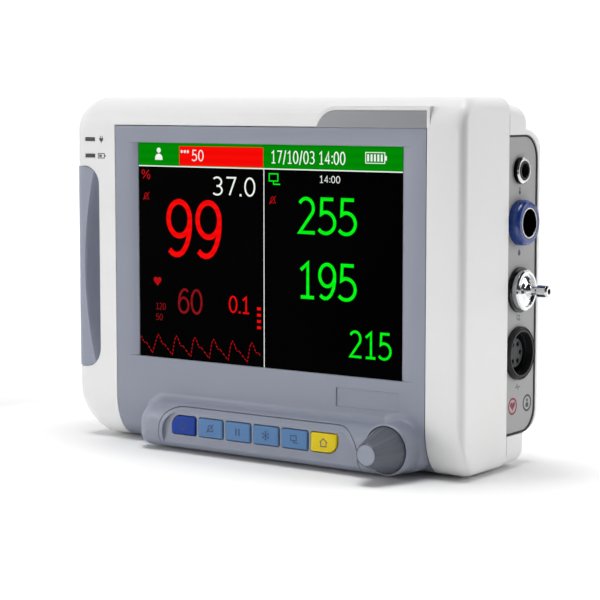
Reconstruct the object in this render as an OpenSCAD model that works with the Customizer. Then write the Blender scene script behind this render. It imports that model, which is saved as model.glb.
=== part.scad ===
// Compact patient monitor: a white two-part housing with a grey front bezel, a key bar with six keys
// and a turning knob, a hand grip on the left and the sensor sockets on the right.
// The front faces -Y. Before placing, Y = 0 is the flat front face and Z = 0 is the table.

/* [Housing] */
// Width of the housing across the front
body_w = 216; // [200:1:260]
// Height of the housing without its feet
body_h = 162; // [155:0.5:195]
// Depth of the front housing
front_depth = 37.4; // [35:0.2:46]
// Depth of the flat part of the rear housing
rear_depth = 18.6; // [17:0.2:24]
// How far the raised back stands past the flat part
hump_depth = 12; // [10:0.5:16]
// Wall of both housings
wall = 2.6; // [2.2:0.1:3.2]
// Top corner radius on the grip side
top_left_r = 12; // [10:0.5:14]
// Bottom corner radius on the grip side
bottom_left_r = 15; // [12:0.5:17]
// Corner radius on the connector side
right_corner_r = 6; // [5:0.5:8]
// Roll of the front edge along the top
top_roll_r = 12; // [10:0.5:14]
// Height of the roll of the front edge along the bottom
bottom_roll_h = 21; // [17:0.5:22]
// Depth of that roll
bottom_roll_depth = 13; // [11:0.5:15]
// Rounding of the front edge along the sides
side_roll_r = 3.6; // [3:0.1:4.2]
// Rounding of the rear edge of the flat back
rear_roll_r = 5; // [4:0.5:7]
// How far the top of the rear housing slopes down to the back
rear_draft = 3; // [1:0.5:4]
// How far the slopes of the raised back run
hump_roll = 7; // [5:0.5:10]
// Step of the rear housing inside the front housing
rear_step = 0.8; // [0.4:0.1:1.5]
// Height of the feet under the housing
foot_h = 1; // [1:0.25:3]

/* [Display] */
// Width of the screen that shows
window_w = 147; // [130:0.5:150]
// Height of the screen that shows
window_h = 100.5; // [90:0.5:105]
// White band left of the bezel
left_band = 24.8; // [22:0.1:28]
// White band right of the bezel
right_band = 18.7; // [17.5:0.1:24]
// White band above the bezel
top_band = 13.4; // [12.5:0.1:15]
// Bezel left showing above the screen
window_drop = 7.7; // [6:0.1:9]
// How deep the screen lies behind the bezel's face
window_sink = 1.4; // [1:0.1:1.8]
// Thickness of the bezel
bezel_t = 3; // [2.5:0.1:3.5]
// Width of the slopes beside the screen
slope_w = 5; // [3:0.25:6]
// Thickness of the screen's cover
cover_t = 1.5; // [1:0.1:2]
// Thickness of the liquid crystal panel
lcd_t = 5.5; // [4:0.1:7]

/* [Alarm light] */
// Width of the alarm lens
lens_w = 56.5; // [40:0.5:65]
// Height of the alarm lens
lens_h = 7.4; // [6:0.1:8]
// Radius of the alarm lens's round end
lens_end_r = 10; // [9:0.5:14]
// Raised white border round the alarm lens
lens_border = 1.8; // [1.2:0.1:2.2]

/* [Grip] */
// Height of the grip
grip_h = 96; // [80:0.5:105]
// Width of the grip seen from the front
grip_w = 14; // [11:0.25:16]
// How far the grip stands out of the side
grip_proud = 1.2; // [0.5:0.1:2]
// Depth of the finger hollow at its middle
hollow_r = 10.4; // [8:0.2:11]

/* [Key bar] */
// How far the bar stands out of the front
bar_proud = 12.5; // [11:0.25:15]
// Half height of the bar
bar_r = 10.5; // [10:0.25:12]
// Rounding of the bar's front edge
bar_edge_r = 8; // [6:0.25:8.5]
// Fillet where the bar meets the front
bar_fillet = 3; // [1:0.25:4]
// Wall of the bar
bar_wall = 2; // [1.6:0.1:2.4]
// Depth of the flat recess that holds the keys
key_recess = 1.5; // [1:0.1:2]
// Width of a key
key_w = 13.8; // [11:0.1:14.2]
// Height of a key
key_h = 8.3; // [6:0.1:9]
// Spacing of the keys
key_pitch = 15.7; // [15.4:0.1:17]
// Travel of a key
key_travel = 0.9; // [0.5:0.1:1]

/* [Knob] */
// Radius of the knob at its base
knob_base_r = 9.9; // [9:0.1:10.2]
// Radius of the knob's face
knob_face_r = 5.3; // [4.8:0.1:7]
// Length of the knob
knob_len = 16.2; // [14:0.2:20]
// Push travel of the knob
knob_push = 0.5; // [0.3:0.1:0.6]
// Number of flutes round the knob
knob_flutes = 16; // [10:1:18]

/* [Connectors] */
// Distance of the connector column behind the front housing
column_back = 12.8; // [12:0.1:14.6]
// Bore of the temperature jack
temp_bore_r = 3.25; // [2:0.05:3.6]
// Radius of the oximeter socket's collar
spo2_r = 10; // [9:0.1:10.5]
// Bore of the oximeter socket
spo2_bore_r = 6.2; // [5:0.1:6.8]
// Radius of the air port's flange
nibp_flange_r = 8.9; // [8:0.1:9.4]
// Radius of the air port's plug tip
nibp_tip_r = 2.7; // [2.2:0.1:3.2]
// Reach of the air port from the panel
nibp_reach = 15; // [12:0.5:18]
// Radius of the electrode socket's flange
ecg_r = 11.8; // [11:0.1:12]
// Bore of the electrode socket
ecg_bore_r = 9.6; // [8.5:0.1:10]

/* [Rear mount] */
// Spacing of the four mounting holes
mount_pitch = 75; // [50:5:75]
// Radius of a mounting hole
mount_hole_r = 1.65; // [1.25:0.05:2]

/* [Hidden] */
$fn = 48;
arc_n = 8;
roll_n = 8;
eps = 0.01;
over = 1;
seam_gap = 0.35;
slip_gap = 0.1;
key_gap = 0.45;
screw_r = 1.25;
screw_head_r = 2.3;
screw_head_h = 1.5;
screw_len = 6;
board_t = 1.6;

left_x = -body_w / 2;
right_x = body_w / 2;
floor_z = foot_h;
top_z = foot_h + body_h;
rear_y = front_depth + rear_depth;
back_y = rear_y + hump_depth;
rear_left_x = left_x + rear_step;
rear_right_x = right_x - rear_step;
rear_floor_z = floor_z + rear_step / 2;
rear_top_z = top_z - 2 * rear_step;
hump_left_x = left_x + 20;
hump_floor_z = floor_z + 12.9;
hump_top_z = top_z - 13.5;
hump_left_r = 9;
hump_right_r = 3;
hump_right_roll = 1;
least_r = 1;
hump_start = 3;
shadow_w = 1.8;
shadow_depth = 1;
hump_mid_z = (hump_floor_z + hump_top_z) / 2;
hump_slope_y = hump_depth + 2;
inner_back_y = back_y - wall;

bezel_x0 = left_x + left_band;
bezel_x1 = right_x - right_band;
bezel_top = top_z - top_band;
bezel_wrap_y = bottom_roll_depth + 6;
window_x = (bezel_x0 + bezel_x1) / 2 + 0.5;
window_x0 = window_x - window_w / 2;
window_x1 = window_x + window_w / 2;
window_z1 = bezel_top - window_drop;
window_z0 = window_z1 - window_h;
cover_rim = 3.5;
lcd_rim = 4.5;
gasket_t = 0.8;
cover_y = window_sink;
gasket_y = cover_y + cover_t;
lcd_y = gasket_y + gasket_t;
bracket_y = lcd_y + lcd_t;
bracket_t = 1.2;
post_r = 2.7;
post_x0 = window_x0 - lcd_rim - post_r - 0.4;
post_x1 = window_x1 + lcd_rim + post_r + 0.4;
post_inset_z = 12;
standoff_h = 6;
main_y = bracket_y + bracket_t + standoff_h;
standoff_r = 2.8;
standoff_inset = 8;
badge_w = 32.8;
badge_h = 8.4;
badge_x1 = window_x1 - 0.7;
badge_z1 = window_z0 - 5.2;
badge_depth = 0.4;
clip_t = 1.5;
clip_z0 = window_z0 - 12;
clip_z1 = bezel_top - 8;
frame_lap = 1;
lcd_back_x = 20;
lcd_back_z = 14;
bracket_rim_x = 22;
bracket_rim_z = 22;
bracket_in = 2;
main_in = 3;
chip_w = 28;
chip_t = 4.5;
chip_drop = 19;
memory_w = 22;
memory_h = 16;
memory_t = 2;
memory_x = window_x - 41;
memory_drop = 27;
plug_t = 6;
low_plug_w = 52;
low_plug_h = 6;
low_plug_x = window_x - 14;
low_plug_rise = 3;
side_plug_w = 8;
side_plug_h = 40;
side_plug_x = window_x + 38;
side_plug_rise = 23;

lens_x1 = bezel_x1;
lens_x0 = lens_x1 - lens_w;
lens_z0 = bezel_top + slip_gap;
lens_z1 = lens_z0 + lens_h;
lens_t = 3;
lens_ledge = 0.8;
lens_hollow_rim = 1.6;
lens_hollow = 1;
lens_border_depth = top_roll_r - 4;
lens_mid_z = lens_z0 + lens_h / 2;
alarm_board_y = 7;
alarm_post_x = [lens_x0 - 4, lens_x1 + 4];
led_count = 6;
led_w = 3;
led_h = 2.8;
led_t = 1.5;
led_pitch = 8;
led_x0 = lens_x0 + 7;

lamp_x = left_x + 9;
lamp_w = 6;
lamp_h = 1.7;
lamp_z = [top_z - 20, top_z - 27.8];
lamp_len = 8;
lamp_post_x = left_x + 18;
lamp_board_rim = 1;

grip_z = floor_z + 81.1;
grip_x1 = left_x + grip_w;
grip_depth = front_depth - 4;
grip_lip = 2.5;
grip_edge_r = 5;
grip_corner_r = 9;
grip_side_r = 1;
grip_lip_in = wall + 0.5;
hollow_x = grip_x1 + 1;
hollow_y = -2;
hollow_rise = 178;

bar_z = floor_z + 10.75;
bar_x0 = bezel_x0 + 21;
knob_x = bezel_x1 - 11.9;
knob_z = floor_z + 12.5;
bar_x1 = knob_x - 4;
bar_foot_r = 6;
boss_r = 11.3;
boss_edge_r = 2;
fillet_n = 4;
dome_n = 4;
well_r = knob_base_r + 0.5;
well_depth = 2.6;
bar_tail = bezel_wrap_y - 6;
bar_floor_y = -bar_proud + key_recess;
bar_inner_y = bar_floor_y + bar_wall;
fascia_end_y = -bar_proud + bar_edge_r - 2.5;
fascia_corner_r = 12;
fascia_gap = 0.3;
fascia_rim = 2.3;
fascia_foot_r = 0.5;
fascia_x0 = bar_x0 + 14.4;
fascia_x1 = knob_x - 14;
fascia_z1 = bar_z + bar_r - 0.9;
key_x = (fascia_x0 + fascia_x1) / 2 - 2;
key_z = bar_z + 1.4;
key_proud = 0.8;
key_face_y = bar_floor_y - key_proud;
key_edge = 0.5;
key_edge_n = 2;
key_lip = 0.75;
key_lip_t = 1;
key_slot_rim = 1.6;
key_corner_r = 0.8;
key_big_r = 5;
key_count = 6;
key_lip_y = bar_inner_y + 0.3;
plunger_r = 1.7;
plunger_len = 2.4;
switch_w = 6;
switch_h = 3.5;
key_board_y = -1;
switch_y = key_board_y - switch_h;
plunger_y = switch_y - 1.6;
key_board_x1 = knob_x + 4.5;
key_board_z0 = bar_z - 6.2;
key_board_z1 = bar_z + 7.8;
key_post_r = 2.2;
key_post_x = [fascia_x0 + 3.6, fascia_x1 - 7];

encoder_w = 12;
encoder_y = -6.4;
encoder_pocket_r = 0.8 * encoder_w;
bushing_r = 3.5;
shaft_r = 3;
running_gap = 0.05;
well_floor_y = -bar_proud + well_depth;
knob_base_y = well_floor_y - knob_push - 0.4;
knob_face_y = knob_base_y - knob_len;
nut_t = 2;
nut_r = 5.2;
bushing_y = well_floor_y - nut_t - 0.5;
knob_hollow_y = bushing_y - knob_push - 0.6;
cap_t = 1.2;
shaft_tip_y = knob_face_y + cap_t + 2;
shaft_end_y = encoder_y + 0.1;
push_r = 1.6;
push_floor_y = key_board_y - 0.8;
shaft_flat = 0.9;
shaft_fit = 0.02;
knob_hollow_r = 6.6;
knob_skirt = 1.5;
knob_edge = 0.5;
knob_rim = 0.8;
knob_step = 0.2;
flute_depth = 0.35;
flute_n = 6;

column_y = front_depth + column_back;
panel_depth = 1;
panel_t = 1.4;
panel_x = rear_right_x - panel_depth;
panel_back_x = panel_x - panel_t;
panel_y0 = front_depth;
panel_y1 = back_y - 2.8;
panel_z0 = hump_floor_z + 0.9;
panel_z1 = hump_top_z - 3;
panel_corner_r = 11;
panel_rim = 0.9;
panel_ledge = 2.2;
panel_ledge_t = 1.8;
panel_ledge_out = 1.5;
panel_side_r = 0.4;
panel_fit = 0.05;
gasket_proud = 0.3;
gasket_foot = 2;
temp_z = panel_z1 - 15.5;
spo2_z = panel_z1 - 38.3;
nibp_z = panel_z1 - 67.8;
ecg_z = panel_z1 - 95.8;
socket_len = 14;
socket_end_x = panel_back_x - socket_len;
link_x = socket_end_x - board_t;
nibp_tip_x = panel_x + nibp_reach;
temp_thread_r = 4.2;
temp_proud = 2.6;
temp_nut_r = 5.9;
temp_nut_t = 1.6;
temp_nut_top = 2.4;
temp_nut_top_r = 5.1;
temp_half = 6;
temp_floor = 1.5;
spo2_wall = 1.8;
spo2_rim_t = 2.2;
spo2_edge = 1.6;
spo2_liner_t = 0.55;
spo2_floor_x = socket_end_x + 3;
spo2_insert_x = socket_end_x + 6;
spo2_pins = 7;
spo2_pin_r = 0.6;
spo2_pin_circle_r = 4;
nibp_seal_r = 10;
nibp_seal_t = 1.2;
nibp_shank_r = 4;
nibp_flange_x = panel_x + 3.8;
nibp_face_x = panel_x + 4.4;
nibp_face_in = 0.6;
nibp_rim = 1;
nibp_dish = 0.6;
nibp_flare_r = 5.8;
nibp_flare = 1.3;
nibp_root_r = 3.1;
nibp_root_x = panel_x + 7;
nibp_neck_r = 1.9;
nibp_barb_len = 6;
nibp_barb_rise = 1;
nibp_tip_cham = 0.8;
nibp_tip_in = 0.6;
nibp_tail_x = panel_back_x - 4;
ecg_flange_t = 2.2;
ecg_wall = 1.2;
ecg_cham = 0.6;
ecg_groove_in = 0.9;
ecg_groove_out = 1.5;
ecg_groove = 0.5;
ecg_floor = 2;
ecg_foot = 2;
ecg_pins = 6;
ecg_pin_r = 1.1;
ecg_step = 0.4;
ecg_clear = 3.5;
ecg_insert_r = 6.4;
ecg_pin_circle_r = 4.3;
spo2_reach = 5.2;
air_bore_r = 1.2;
tail_r = 1.5;
tail_len = 4;
tail_bore_r = 0.8;
hose_end = 0.5;

pump_r = 11;
pump_x = link_x - 1.5 - tail_len - pump_r;
pump_head_h = 14;
pump_len = 54;
saddle_w = 18;
saddle_h = 5;
saddle_gap = 0.3;
saddle_z = [nibp_z + pump_head_h, nibp_z + pump_len - 6];
valve_w = 16;
valve_half = 7;
valve_seat_in = 2;
valve_x1 = pump_x - pump_r - 10;
hose_r = 2.6;
hose_hole_r = hose_r + 1.4;
link_y0 = front_depth - 12;
link_y1 = inner_back_y - 5;
link_z0 = ecg_z - 16;
link_z1 = temp_z + 8;

mount_x = 16;
insert_r = 2.8;
insert_len = 8;
insert_boss_r = 5;
insert_floor = 1.5;
insert_sink = 0.2;
supply_w = 62;
supply_h = 51;
supply_x = mount_x - 17;
supply_z = hump_mid_z + 4;
supply_y = inner_back_y - 9.6;
supply_inset = 4;
coil_w = 22;
coil_len = 18;
coil_x = 19;
coil_rise = 14;
sink_t = 3;
sink_h = 30;
sink_len = 16;
sink_x = 37.5;
sink_rise = 10;
cap_count = 3;
cap_r = 5;
cap_len = 15;
cap_x = 48;
cap_pitch = 12;
battery_w = 60;
battery_h = 38;
battery_t = 22;
battery_z0 = rear_floor_z + wall + 4;
battery_y1 = rear_y - wall - 2.2;
battery_y0 = battery_y1 - battery_t;
tray_gap = 0.3;
tray_wall = 1.5;
tray_y0 = front_depth + 1;
tray_rise = 2;
clamp_gap = 0.2;
clamp_t = 1.2;
clamp_z0 = battery_z0 + 5;
clamp_z1 = battery_z0 + 19;
inlet_x = hump_left_x + 32;
inlet_z = hump_mid_z + 25;
inlet_w = 22;
inlet_h = 30;
inlet_len = 24;
inlet_sink = 1;
inlet_face_y = back_y - inlet_sink;
inlet_rim = 1;
inlet_mouth_w = 16.5;
inlet_mouth_h = 24.4;
inlet_mouth = 17;
blade_at = [[-2, -7], [2, 0], [-2, 7]];
blade_half_w = 2;
blade_half_t = 1;
blade_sink = 3;
stud_z = hump_mid_z - 4;
stud_pocket_r = 8;
stud_pocket = 9;
stud_r = 3;
stud_tail = 3;
stud_sink = 1;
stud_nut_r = 5.6;
stud_nut_t = 3;
speaker_r = 16;
speaker_x = hump_left_x + 39;
speaker_z = hump_mid_z - 29;
speaker_t = 9;
speaker_y = inner_back_y - 0.2;
speaker_rim_t = 2.3;
speaker_ring_t = 2;
speaker_cone = 4;
speaker_cone_rim = 2.5;
speaker_basket_in = 1;
magnet_y0 = inner_back_y - speaker_t - 2;
magnet_len = 5;
grille_half = 3;
grille_in = 3;
grille_pitch = 3.6;
grille_slot = 1.6;
vent_half = 4;
vent_pitch = 6;
vent_w = 2.2;
vent_h = 12;

case_screw_at = [
    [left_x + 11, floor_z + 10],
    [right_x - 7.6, floor_z + 8],
    [left_x + 11, top_z - 10],
    [right_x - 7.6, top_z - 10]
];
case_boss_r = 3.8;
case_tower_r = 4.8;
case_head_y = front_depth + 6;
case_screw_len = 20;
case_screw_r = 1.5;
case_head_r = 2.9;
case_head_h = 2.2;

foot_r = 5.4;
foot_sink = 1.8;
foot_cham = 0.6;
feet_at = [
    [left_x + 18, bottom_roll_depth + 9],
    [right_x - 11.6, bottom_roll_depth + 9],
    [left_x + 18, front_depth + 7],
    [right_x - 13, front_depth + 7]
];

key_names = ["power", "silence", "pause", "freeze", "nibp", "main"];
key_colours = ["#2448b8", "#6e9cd0", "#6e9cd0", "#6e9cd0", "#6e9cd0", "#e8cc20"];
shell_white = "#ecebe7";
bezel_grey = "#9195a3";
board_green = "#1f6b46";
bright_metal = "#c9c9c6";
socket_black = "#1d1e20";
dark_rubber = "#2a2a2c";
panel_grey = "#a0a0a2";

// Setback of an edge at a depth d below the face, for a roll of that depth and height
function roll(d, depth, height) = d >= depth ? 0 : height * (1 - sqrt(1 - pow(1 - d / depth, 2)));

// A quarter arc from angle a
function arc(cx, cz, r, a) = [
    for (k = [0 : arc_n]) [cx + r * cos(a + 90 * k / arc_n), cz + r * sin(a + 90 * k / arc_n)]
];

// A rectangle with its corner radii in the order bottom left, bottom right, top right, top left
function outline(x0, x1, z0, z1, r) = concat(
    arc(x1 - r[1], z0 + r[1], r[1], -90),
    arc(x1 - r[2], z1 - r[2], r[2], 0),
    arc(x0 + r[3], z1 - r[3], r[3], 90),
    arc(x0 + r[0], z0 + r[0], r[0], 180)
);

function same(r) = [r, r, r, r];
function ring(y, points) = [for (p = points) [p[0], y, p[1]]];

// Outline of the front housing at a depth d below its inset face
function front_outline(inset, d) =
    let (side_r = max(side_roll_r - inset, eps))
    let (b = roll(d, bottom_roll_depth - inset, bottom_roll_h - inset))
    let (t = roll(d, top_roll_r - inset, top_roll_r - inset))
    let (s = roll(d, side_r, side_r))
    let (k = 1 - b / (bottom_roll_h - inset) / 2)
    let (radii = [bottom_left_r, right_corner_r, right_corner_r, top_left_r])
    outline(
        left_x + inset + s, right_x - inset - s, floor_z + inset + b, top_z - inset - t,
        [for (r = radii) max((r - inset) * k, least_r)]
    );

function front_rings(inset, back) = [
    for (i = [0 : roll_n])
        let (d = (bottom_roll_depth - inset) * (1 - cos(90 * i / roll_n)))
        ring(inset + d, front_outline(inset, d)),
    ring(back, front_outline(inset, back))
];

// Outline of the flat back at y, where its rear edge has rolled in by e, and by less on the connector side
function rear_outline(inset, e, y) =
    let (drop = rear_draft * max(y - front_depth, 0) / rear_depth)
    let (right_r = right_corner_r - e / 4)
    let (radii = [bottom_left_r - e / 2, right_r, right_r, top_left_r - e / 2])
    outline(
        rear_left_x + inset + e, rear_right_x - inset - e / 2.5,
        rear_floor_z + inset + e, rear_top_z - inset - e - drop,
        [for (r = radii) max(r - inset, least_r)]
    );

function rear_rings(inset, start) = [
    ring(start, rear_outline(inset, 0, start)),
    for (i = [0 : roll_n])
        let (r = rear_roll_r - inset)
        let (a = 90 * i / roll_n)
        let (y = rear_y - inset - r * (1 - sin(a)))
        ring(y, rear_outline(inset, r * (1 - cos(a)), y))
];

// Outline of the shadow line at the front of the flat back, on both sides and along the top
shadow_outline = outline(
    rear_left_x + shadow_depth, rear_right_x - shadow_depth, rear_floor_z, rear_top_z - shadow_depth,
    [bottom_left_r, right_corner_r, right_corner_r, top_left_r]
);

// Rings of the flat back's outside: the shadow line, then the flat part
function rear_skin_rings() = concat(
    [for (y = [front_depth, front_depth + shadow_w]) ring(y, shadow_outline)],
    rear_rings(0, front_depth + shadow_w + eps)
);

// Outline of the raised back where its slopes have run in by the share k
function hump_outline(inset, k) =
    let (e = hump_roll * k)
    outline(
        hump_left_x + inset + e, rear_right_x - inset - hump_right_roll * k,
        hump_floor_z + inset + e, hump_top_z - inset - e,
        [hump_left_r, hump_right_r, hump_right_r, hump_left_r]
    );

function hump_rings(inset, start) = [
    ring(start, hump_outline(inset, 0)),
    for (i = [0 : roll_n])
        ring(
            back_y - inset - hump_slope_y * (1 - sin(90 * i / roll_n)),
            hump_outline(inset, 1 - cos(90 * i / roll_n))
        )
];

function key_at(i) = key_x + (i - (key_count - 1) / 2) * key_pitch;

// Corner radii of a key: the first has a large top left corner, the last a large bottom right one
function key_corners(i) = [
    key_corner_r,
    i == key_count - 1 ? key_big_r : key_corner_r,
    key_corner_r,
    i == 0 ? key_big_r : key_corner_r
];

function key_outline(i, grow) = outline(
    key_at(i) - key_w / 2 - grow, key_at(i) + key_w / 2 + grow,
    key_z - key_h / 2 - grow, key_z + key_h / 2 + grow,
    [for (r = key_corners(i)) r + max(grow, 0)]
);

// Rings of a key's cap, from its face round the rolled edge to its lip
function key_rings(i) = [
    for (k = [0 : key_edge_n])
        let (a = 90 * k / key_edge_n)
        ring(key_face_y + key_edge * (1 - cos(a)), key_outline(i, -key_edge * (1 - sin(a)))),
    ring(key_lip_y + eps, key_outline(i, 0))
];

// Ring of the knob's side at a radius, with shallow flutes that meet in ridges
function knob_ring(y, r) = ring(y, [
    for (k = [0 : knob_flutes * flute_n - 1])
        let (a = 360 * k / (knob_flutes * flute_n))
        let (dip = flute_depth * r / knob_base_r * sin(180 * (k % flute_n) / flute_n))
        [knob_x + (r - dip) * cos(a), knob_z + (r - dip) * sin(a)]
]);

function panel_outline(grow) = outline(
    panel_y0 - 2 * max(grow, 0), panel_y1 + grow, panel_z0 - grow, panel_z1 + grow,
    [panel_side_r, panel_corner_r + grow, panel_corner_r + grow, panel_side_r]
);

function fascia_outline(grow) = outline(
    fascia_x0 - grow, fascia_x1 + grow, floor_z - 2 * over, fascia_z1 + grow,
    [fascia_foot_r, fascia_foot_r, fascia_corner_r + grow, fascia_corner_r + grow]
);

// The lens: square at the right, with an arc at the left that meets the top edge smoothly
function lens_outline(grow) =
    let (r = lens_end_r + grow)
    let (z0 = lens_z0 - grow)
    let (z1 = lens_z1 + grow)
    let (sweep = 90 - asin((r - (z1 - z0)) / r))
    concat(
        [[lens_x1 + grow, z0], [lens_x1 + grow, z1]],
        [for (k = [0 : arc_n])
            let (a = 90 + sweep * k / arc_n)
            [lens_x0 - grow + r + r * cos(a), z1 - r + r * sin(a)]]
    );

// Outline of the bar grown by g, which doesn't grow downwards
function bar_outline(g, x1) =
    let (r = bar_r + min(g, 0) - slip_gap)
    outline(
        bar_x0 - g, x1 + g, bar_z - bar_r - min(g, 0), bar_z + bar_r + g,
        [max(bar_foot_r + min(g, 0), least_r / 2), r, r, r]
    );

// Outline of the knob's boss grown by g, which doesn't grow downwards
function boss_outline(g) =
    let (r = boss_r + g)
    outline(
        knob_x - r, knob_x + r, knob_z - boss_r - min(g, 0), knob_z + r,
        same(boss_r + min(g, 0) - slip_gap)
    );

// Depth and growth of each ring of a raised form: a rounded edge, a fillet at the foot and a tail
function raised_steps(edge) = concat(
    [for (i = [0 : roll_n])
        let (a = 90 * i / roll_n)
        [-bar_proud + edge * (1 - cos(a)), -edge * (1 - sin(a))]],
    [for (i = [0 : fillet_n])
        let (a = 90 * i / fillet_n)
        [-bar_fillet * (1 - sin(a)), bar_fillet * (1 - cos(a))]],
    [[bar_tail, bar_fillet]]
);

function grip_outline(grow, proud) = outline(
    left_x - proud, grip_x1 + grow, grip_z - grip_h / 2 - grow, grip_z + grip_h / 2 + grow,
    [grip_side_r, grip_corner_r + grow, grip_corner_r + grow, grip_side_r]
);

// Centres of the posts that carry the display bracket
post_at = [
    for (x = [post_x0, post_x1], z = [window_z0 + post_inset_z, window_z1 - post_inset_z]) [x, z]
];
standoff_at = [
    for (x = [window_x0 + standoff_inset, window_x1 - standoff_inset])
        for (z = [window_z0 + standoff_inset, window_z1 - standoff_inset]) [x, z]
];
supply_at = [
    for (x = [-1, 1], z = [-1, 1])
        [supply_x + x * (supply_w / 2 - supply_inset), supply_z + z * (supply_h / 2 - supply_inset)]
];
mount_at = [
    for (x = [-1, 1], z = [-1, 1]) [mount_x + x * mount_pitch / 2, hump_mid_z + z * mount_pitch / 2]
];

// A closed solid through a list of rings, front ring first
module loft(rings) {
    n = len(rings[0]);
    m = len(rings);
    sides = [
        for (j = [0 : m - 2], i = [0 : n - 1])
            let (a = j * n + i, b = j * n + (i + 1) % n)
            each [[a, b, b + n], [a, b + n, a + n]]
    ];
    front_cap = [for (i = [n - 1 : -1 : 0]) i];
    back_cap = [for (i = [0 : n - 1]) (m - 1) * n + i];
    polyhedron([for (r = rings) each r], concat([front_cap], sides, [back_cap]), convexity = 6);
}

module block(x0, x1, y0, y1, z0, z1) {
    translate([x0, y0, z0]) cube([x1 - x0, y1 - y0, z1 - z0]);
}

// A part of a board, given by the middle of its lower edge, its width and its height
module seated(x, z, w, h, y0, y1) {
    block(x - w / 2, x + w / 2, y0, y1, z, z + h);
}

module rod_x(y, z, r, x0, x1) {
    translate([x0, y, z]) rotate([0, 90, 0]) cylinder(r = r, h = x1 - x0);
}

module rod_y(x, z, r, y0, y1) {
    translate([x, y0, z]) rotate([-90, 0, 0]) cylinder(r = r, h = y1 - y0);
}

module cone_x(y, z, r0, r1, x0, x1) {
    translate([x0, y, z]) rotate([0, 90, 0]) cylinder(r1 = r0, r2 = r1, h = x1 - x0);
}

// A round boss along X whose outer edge rolls in by an amount on the way from x0 to x1
module dome_x(y, z, r, edge, x0, x1) {
    profile = [
        [0, 0],
        for (k = [0 : dome_n])
            let (a = 90 * k / dome_n)
            [r - edge * (1 - cos(a)), (x1 - x0) * sin(a)],
        [0, x1 - x0]
    ];
    translate([x0, y, z]) rotate([0, 90, 0]) rotate_extrude() polygon(profile);
}

// An outline in X and Z, extruded along Y
module prism_y(points, y0, y1) {
    translate([0, y1, 0]) rotate([90, 0, 0]) linear_extrude(y1 - y0) polygon(points);
}

// An outline in Y and Z, extruded along X
module prism_x(points, x0, x1) {
    translate([x0, 0, 0]) rotate([90, 0, 90]) linear_extrude(x1 - x0) polygon(points);
}

// A pan head screw driven towards -Y, with its head seated at y
module screw(x, z, y) {
    rod_y(x, z, screw_head_r, y, y + screw_head_h);
    rod_y(x, z, screw_r, y - screw_len, y + eps);
}

module place() {
    x_mid = (left_x - grip_proud + nibp_tip_x) / 2;
    y_mid = (knob_face_y + back_y) / 2;
    translate([-x_mid, -y_mid, 0]) children();
}

module front_form(inset, back) {
    loft(front_rings(inset, back));
}

module rear_form(inset, start) {
    loft(rear_rings(inset, start));
    loft(hump_rings(inset, start + hump_start));
}

module rear_skin() {
    loft(rear_skin_rings());
    loft(hump_rings(0, front_depth + hump_start));
}

module foot_recesses() {
    for (p = feet_at)
        translate([p[0], p[1], -over]) cylinder(r = foot_r + slip_gap, h = over + foot_h + foot_sink);
}

module front_housing() {
    color(shell_white)
    difference() {
        union() {
            difference() {
                union() {
                    front_form(0, front_depth);
                    prism_y(lens_outline(lens_border), 0, lens_border_depth);
                }
                front_form(wall, front_depth + over);
            }
            front_posts();
        }
        bezel_opening(seam_gap);
        prism_y(grip_outline(seam_gap, grip_proud + over), -over, grip_depth + seam_gap);
        prism_y(lens_outline(slip_gap), -over, lens_t + slip_gap);
        prism_y(lens_outline(-lens_ledge), -over, alarm_board_y);
        for (z = lamp_z)
            block(lamp_x - lamp_w / 2 - slip_gap, lamp_x + lamp_w / 2 + slip_gap, -over, wall + over,
                z - lamp_h / 2 - slip_gap, z + lamp_h / 2 + slip_gap);
        for (p = case_screw_at)
            rod_y(p[0], p[1], case_screw_r + running_gap,
                case_head_y - case_screw_len - over, front_depth + over);
        for (x = alarm_post_x)
            rod_y(x, lens_mid_z, screw_r + running_gap, alarm_board_y - screw_len, alarm_board_y + over);
        for (z = lamp_z)
            rod_y(lamp_post_x, z, screw_r + running_gap, lamp_len - screw_len, lamp_len + over);
        foot_recesses();
    }
}

// Posts inside the front housing: case screws, alarm light board and indicator board
module front_posts() {
    intersection() {
        front_form(wall / 2, front_depth);
        union() {
            for (p = case_screw_at)
                rod_y(p[0], p[1], case_boss_r, 0, front_depth - slip_gap);
            for (x = alarm_post_x)
                rod_y(x, lens_mid_z, post_r, 0, alarm_board_y);
            for (z = lamp_z)
                rod_y(lamp_post_x, z, post_r, 0, lamp_len);
        }
    }
}

// The front wall taken out for the bezel, down to and round the bottom roll
module bezel_opening(gap) {
    block(bezel_x0 - gap, bezel_x1 + gap, -over, bezel_wrap_y + gap, floor_z - over, bezel_top + gap);
}

module rear_housing() {
    color(shell_white)
    difference() {
        union() {
            difference() {
                rear_skin();
                rear_form(wall, front_depth - over);
            }
            intersection() {
                rear_form(wall / 2, front_depth);
                union() {
                    rear_posts();
                    prism_x(panel_outline(panel_ledge_out), panel_back_x - panel_ledge_t,
                        panel_back_x + over);
                    battery_tray();
                }
            }
            speaker_ring();
        }
        panel_opening();
        for (p = case_screw_at) {
            rod_y(p[0], p[1], case_screw_r + slip_gap, front_depth - over, back_y);
            rod_y(p[0], p[1], case_head_r + slip_gap, case_head_y, back_y);
        }
        for (p = mount_at)
            rod_y(p[0], p[1], insert_r, back_y - insert_len, back_y + over);
        for (p = supply_at)
            rod_y(p[0], p[1], screw_r + running_gap, supply_y, supply_y + board_t + screw_len);
        block(inlet_x - inlet_w / 2 - slip_gap, inlet_x + inlet_w / 2 + slip_gap, inner_back_y - over,
            back_y + over, inlet_z - inlet_h / 2 - slip_gap, inlet_z + inlet_h / 2 + slip_gap);
        rod_y(inlet_x, stud_z, stud_pocket_r, back_y - stud_pocket, back_y + over);
        rod_y(inlet_x, stud_z, stud_r + slip_gap, back_y - stud_pocket - wall - over, back_y);
        speaker_slots();
        vent_slots();
        foot_recesses();
    }
}

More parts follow.
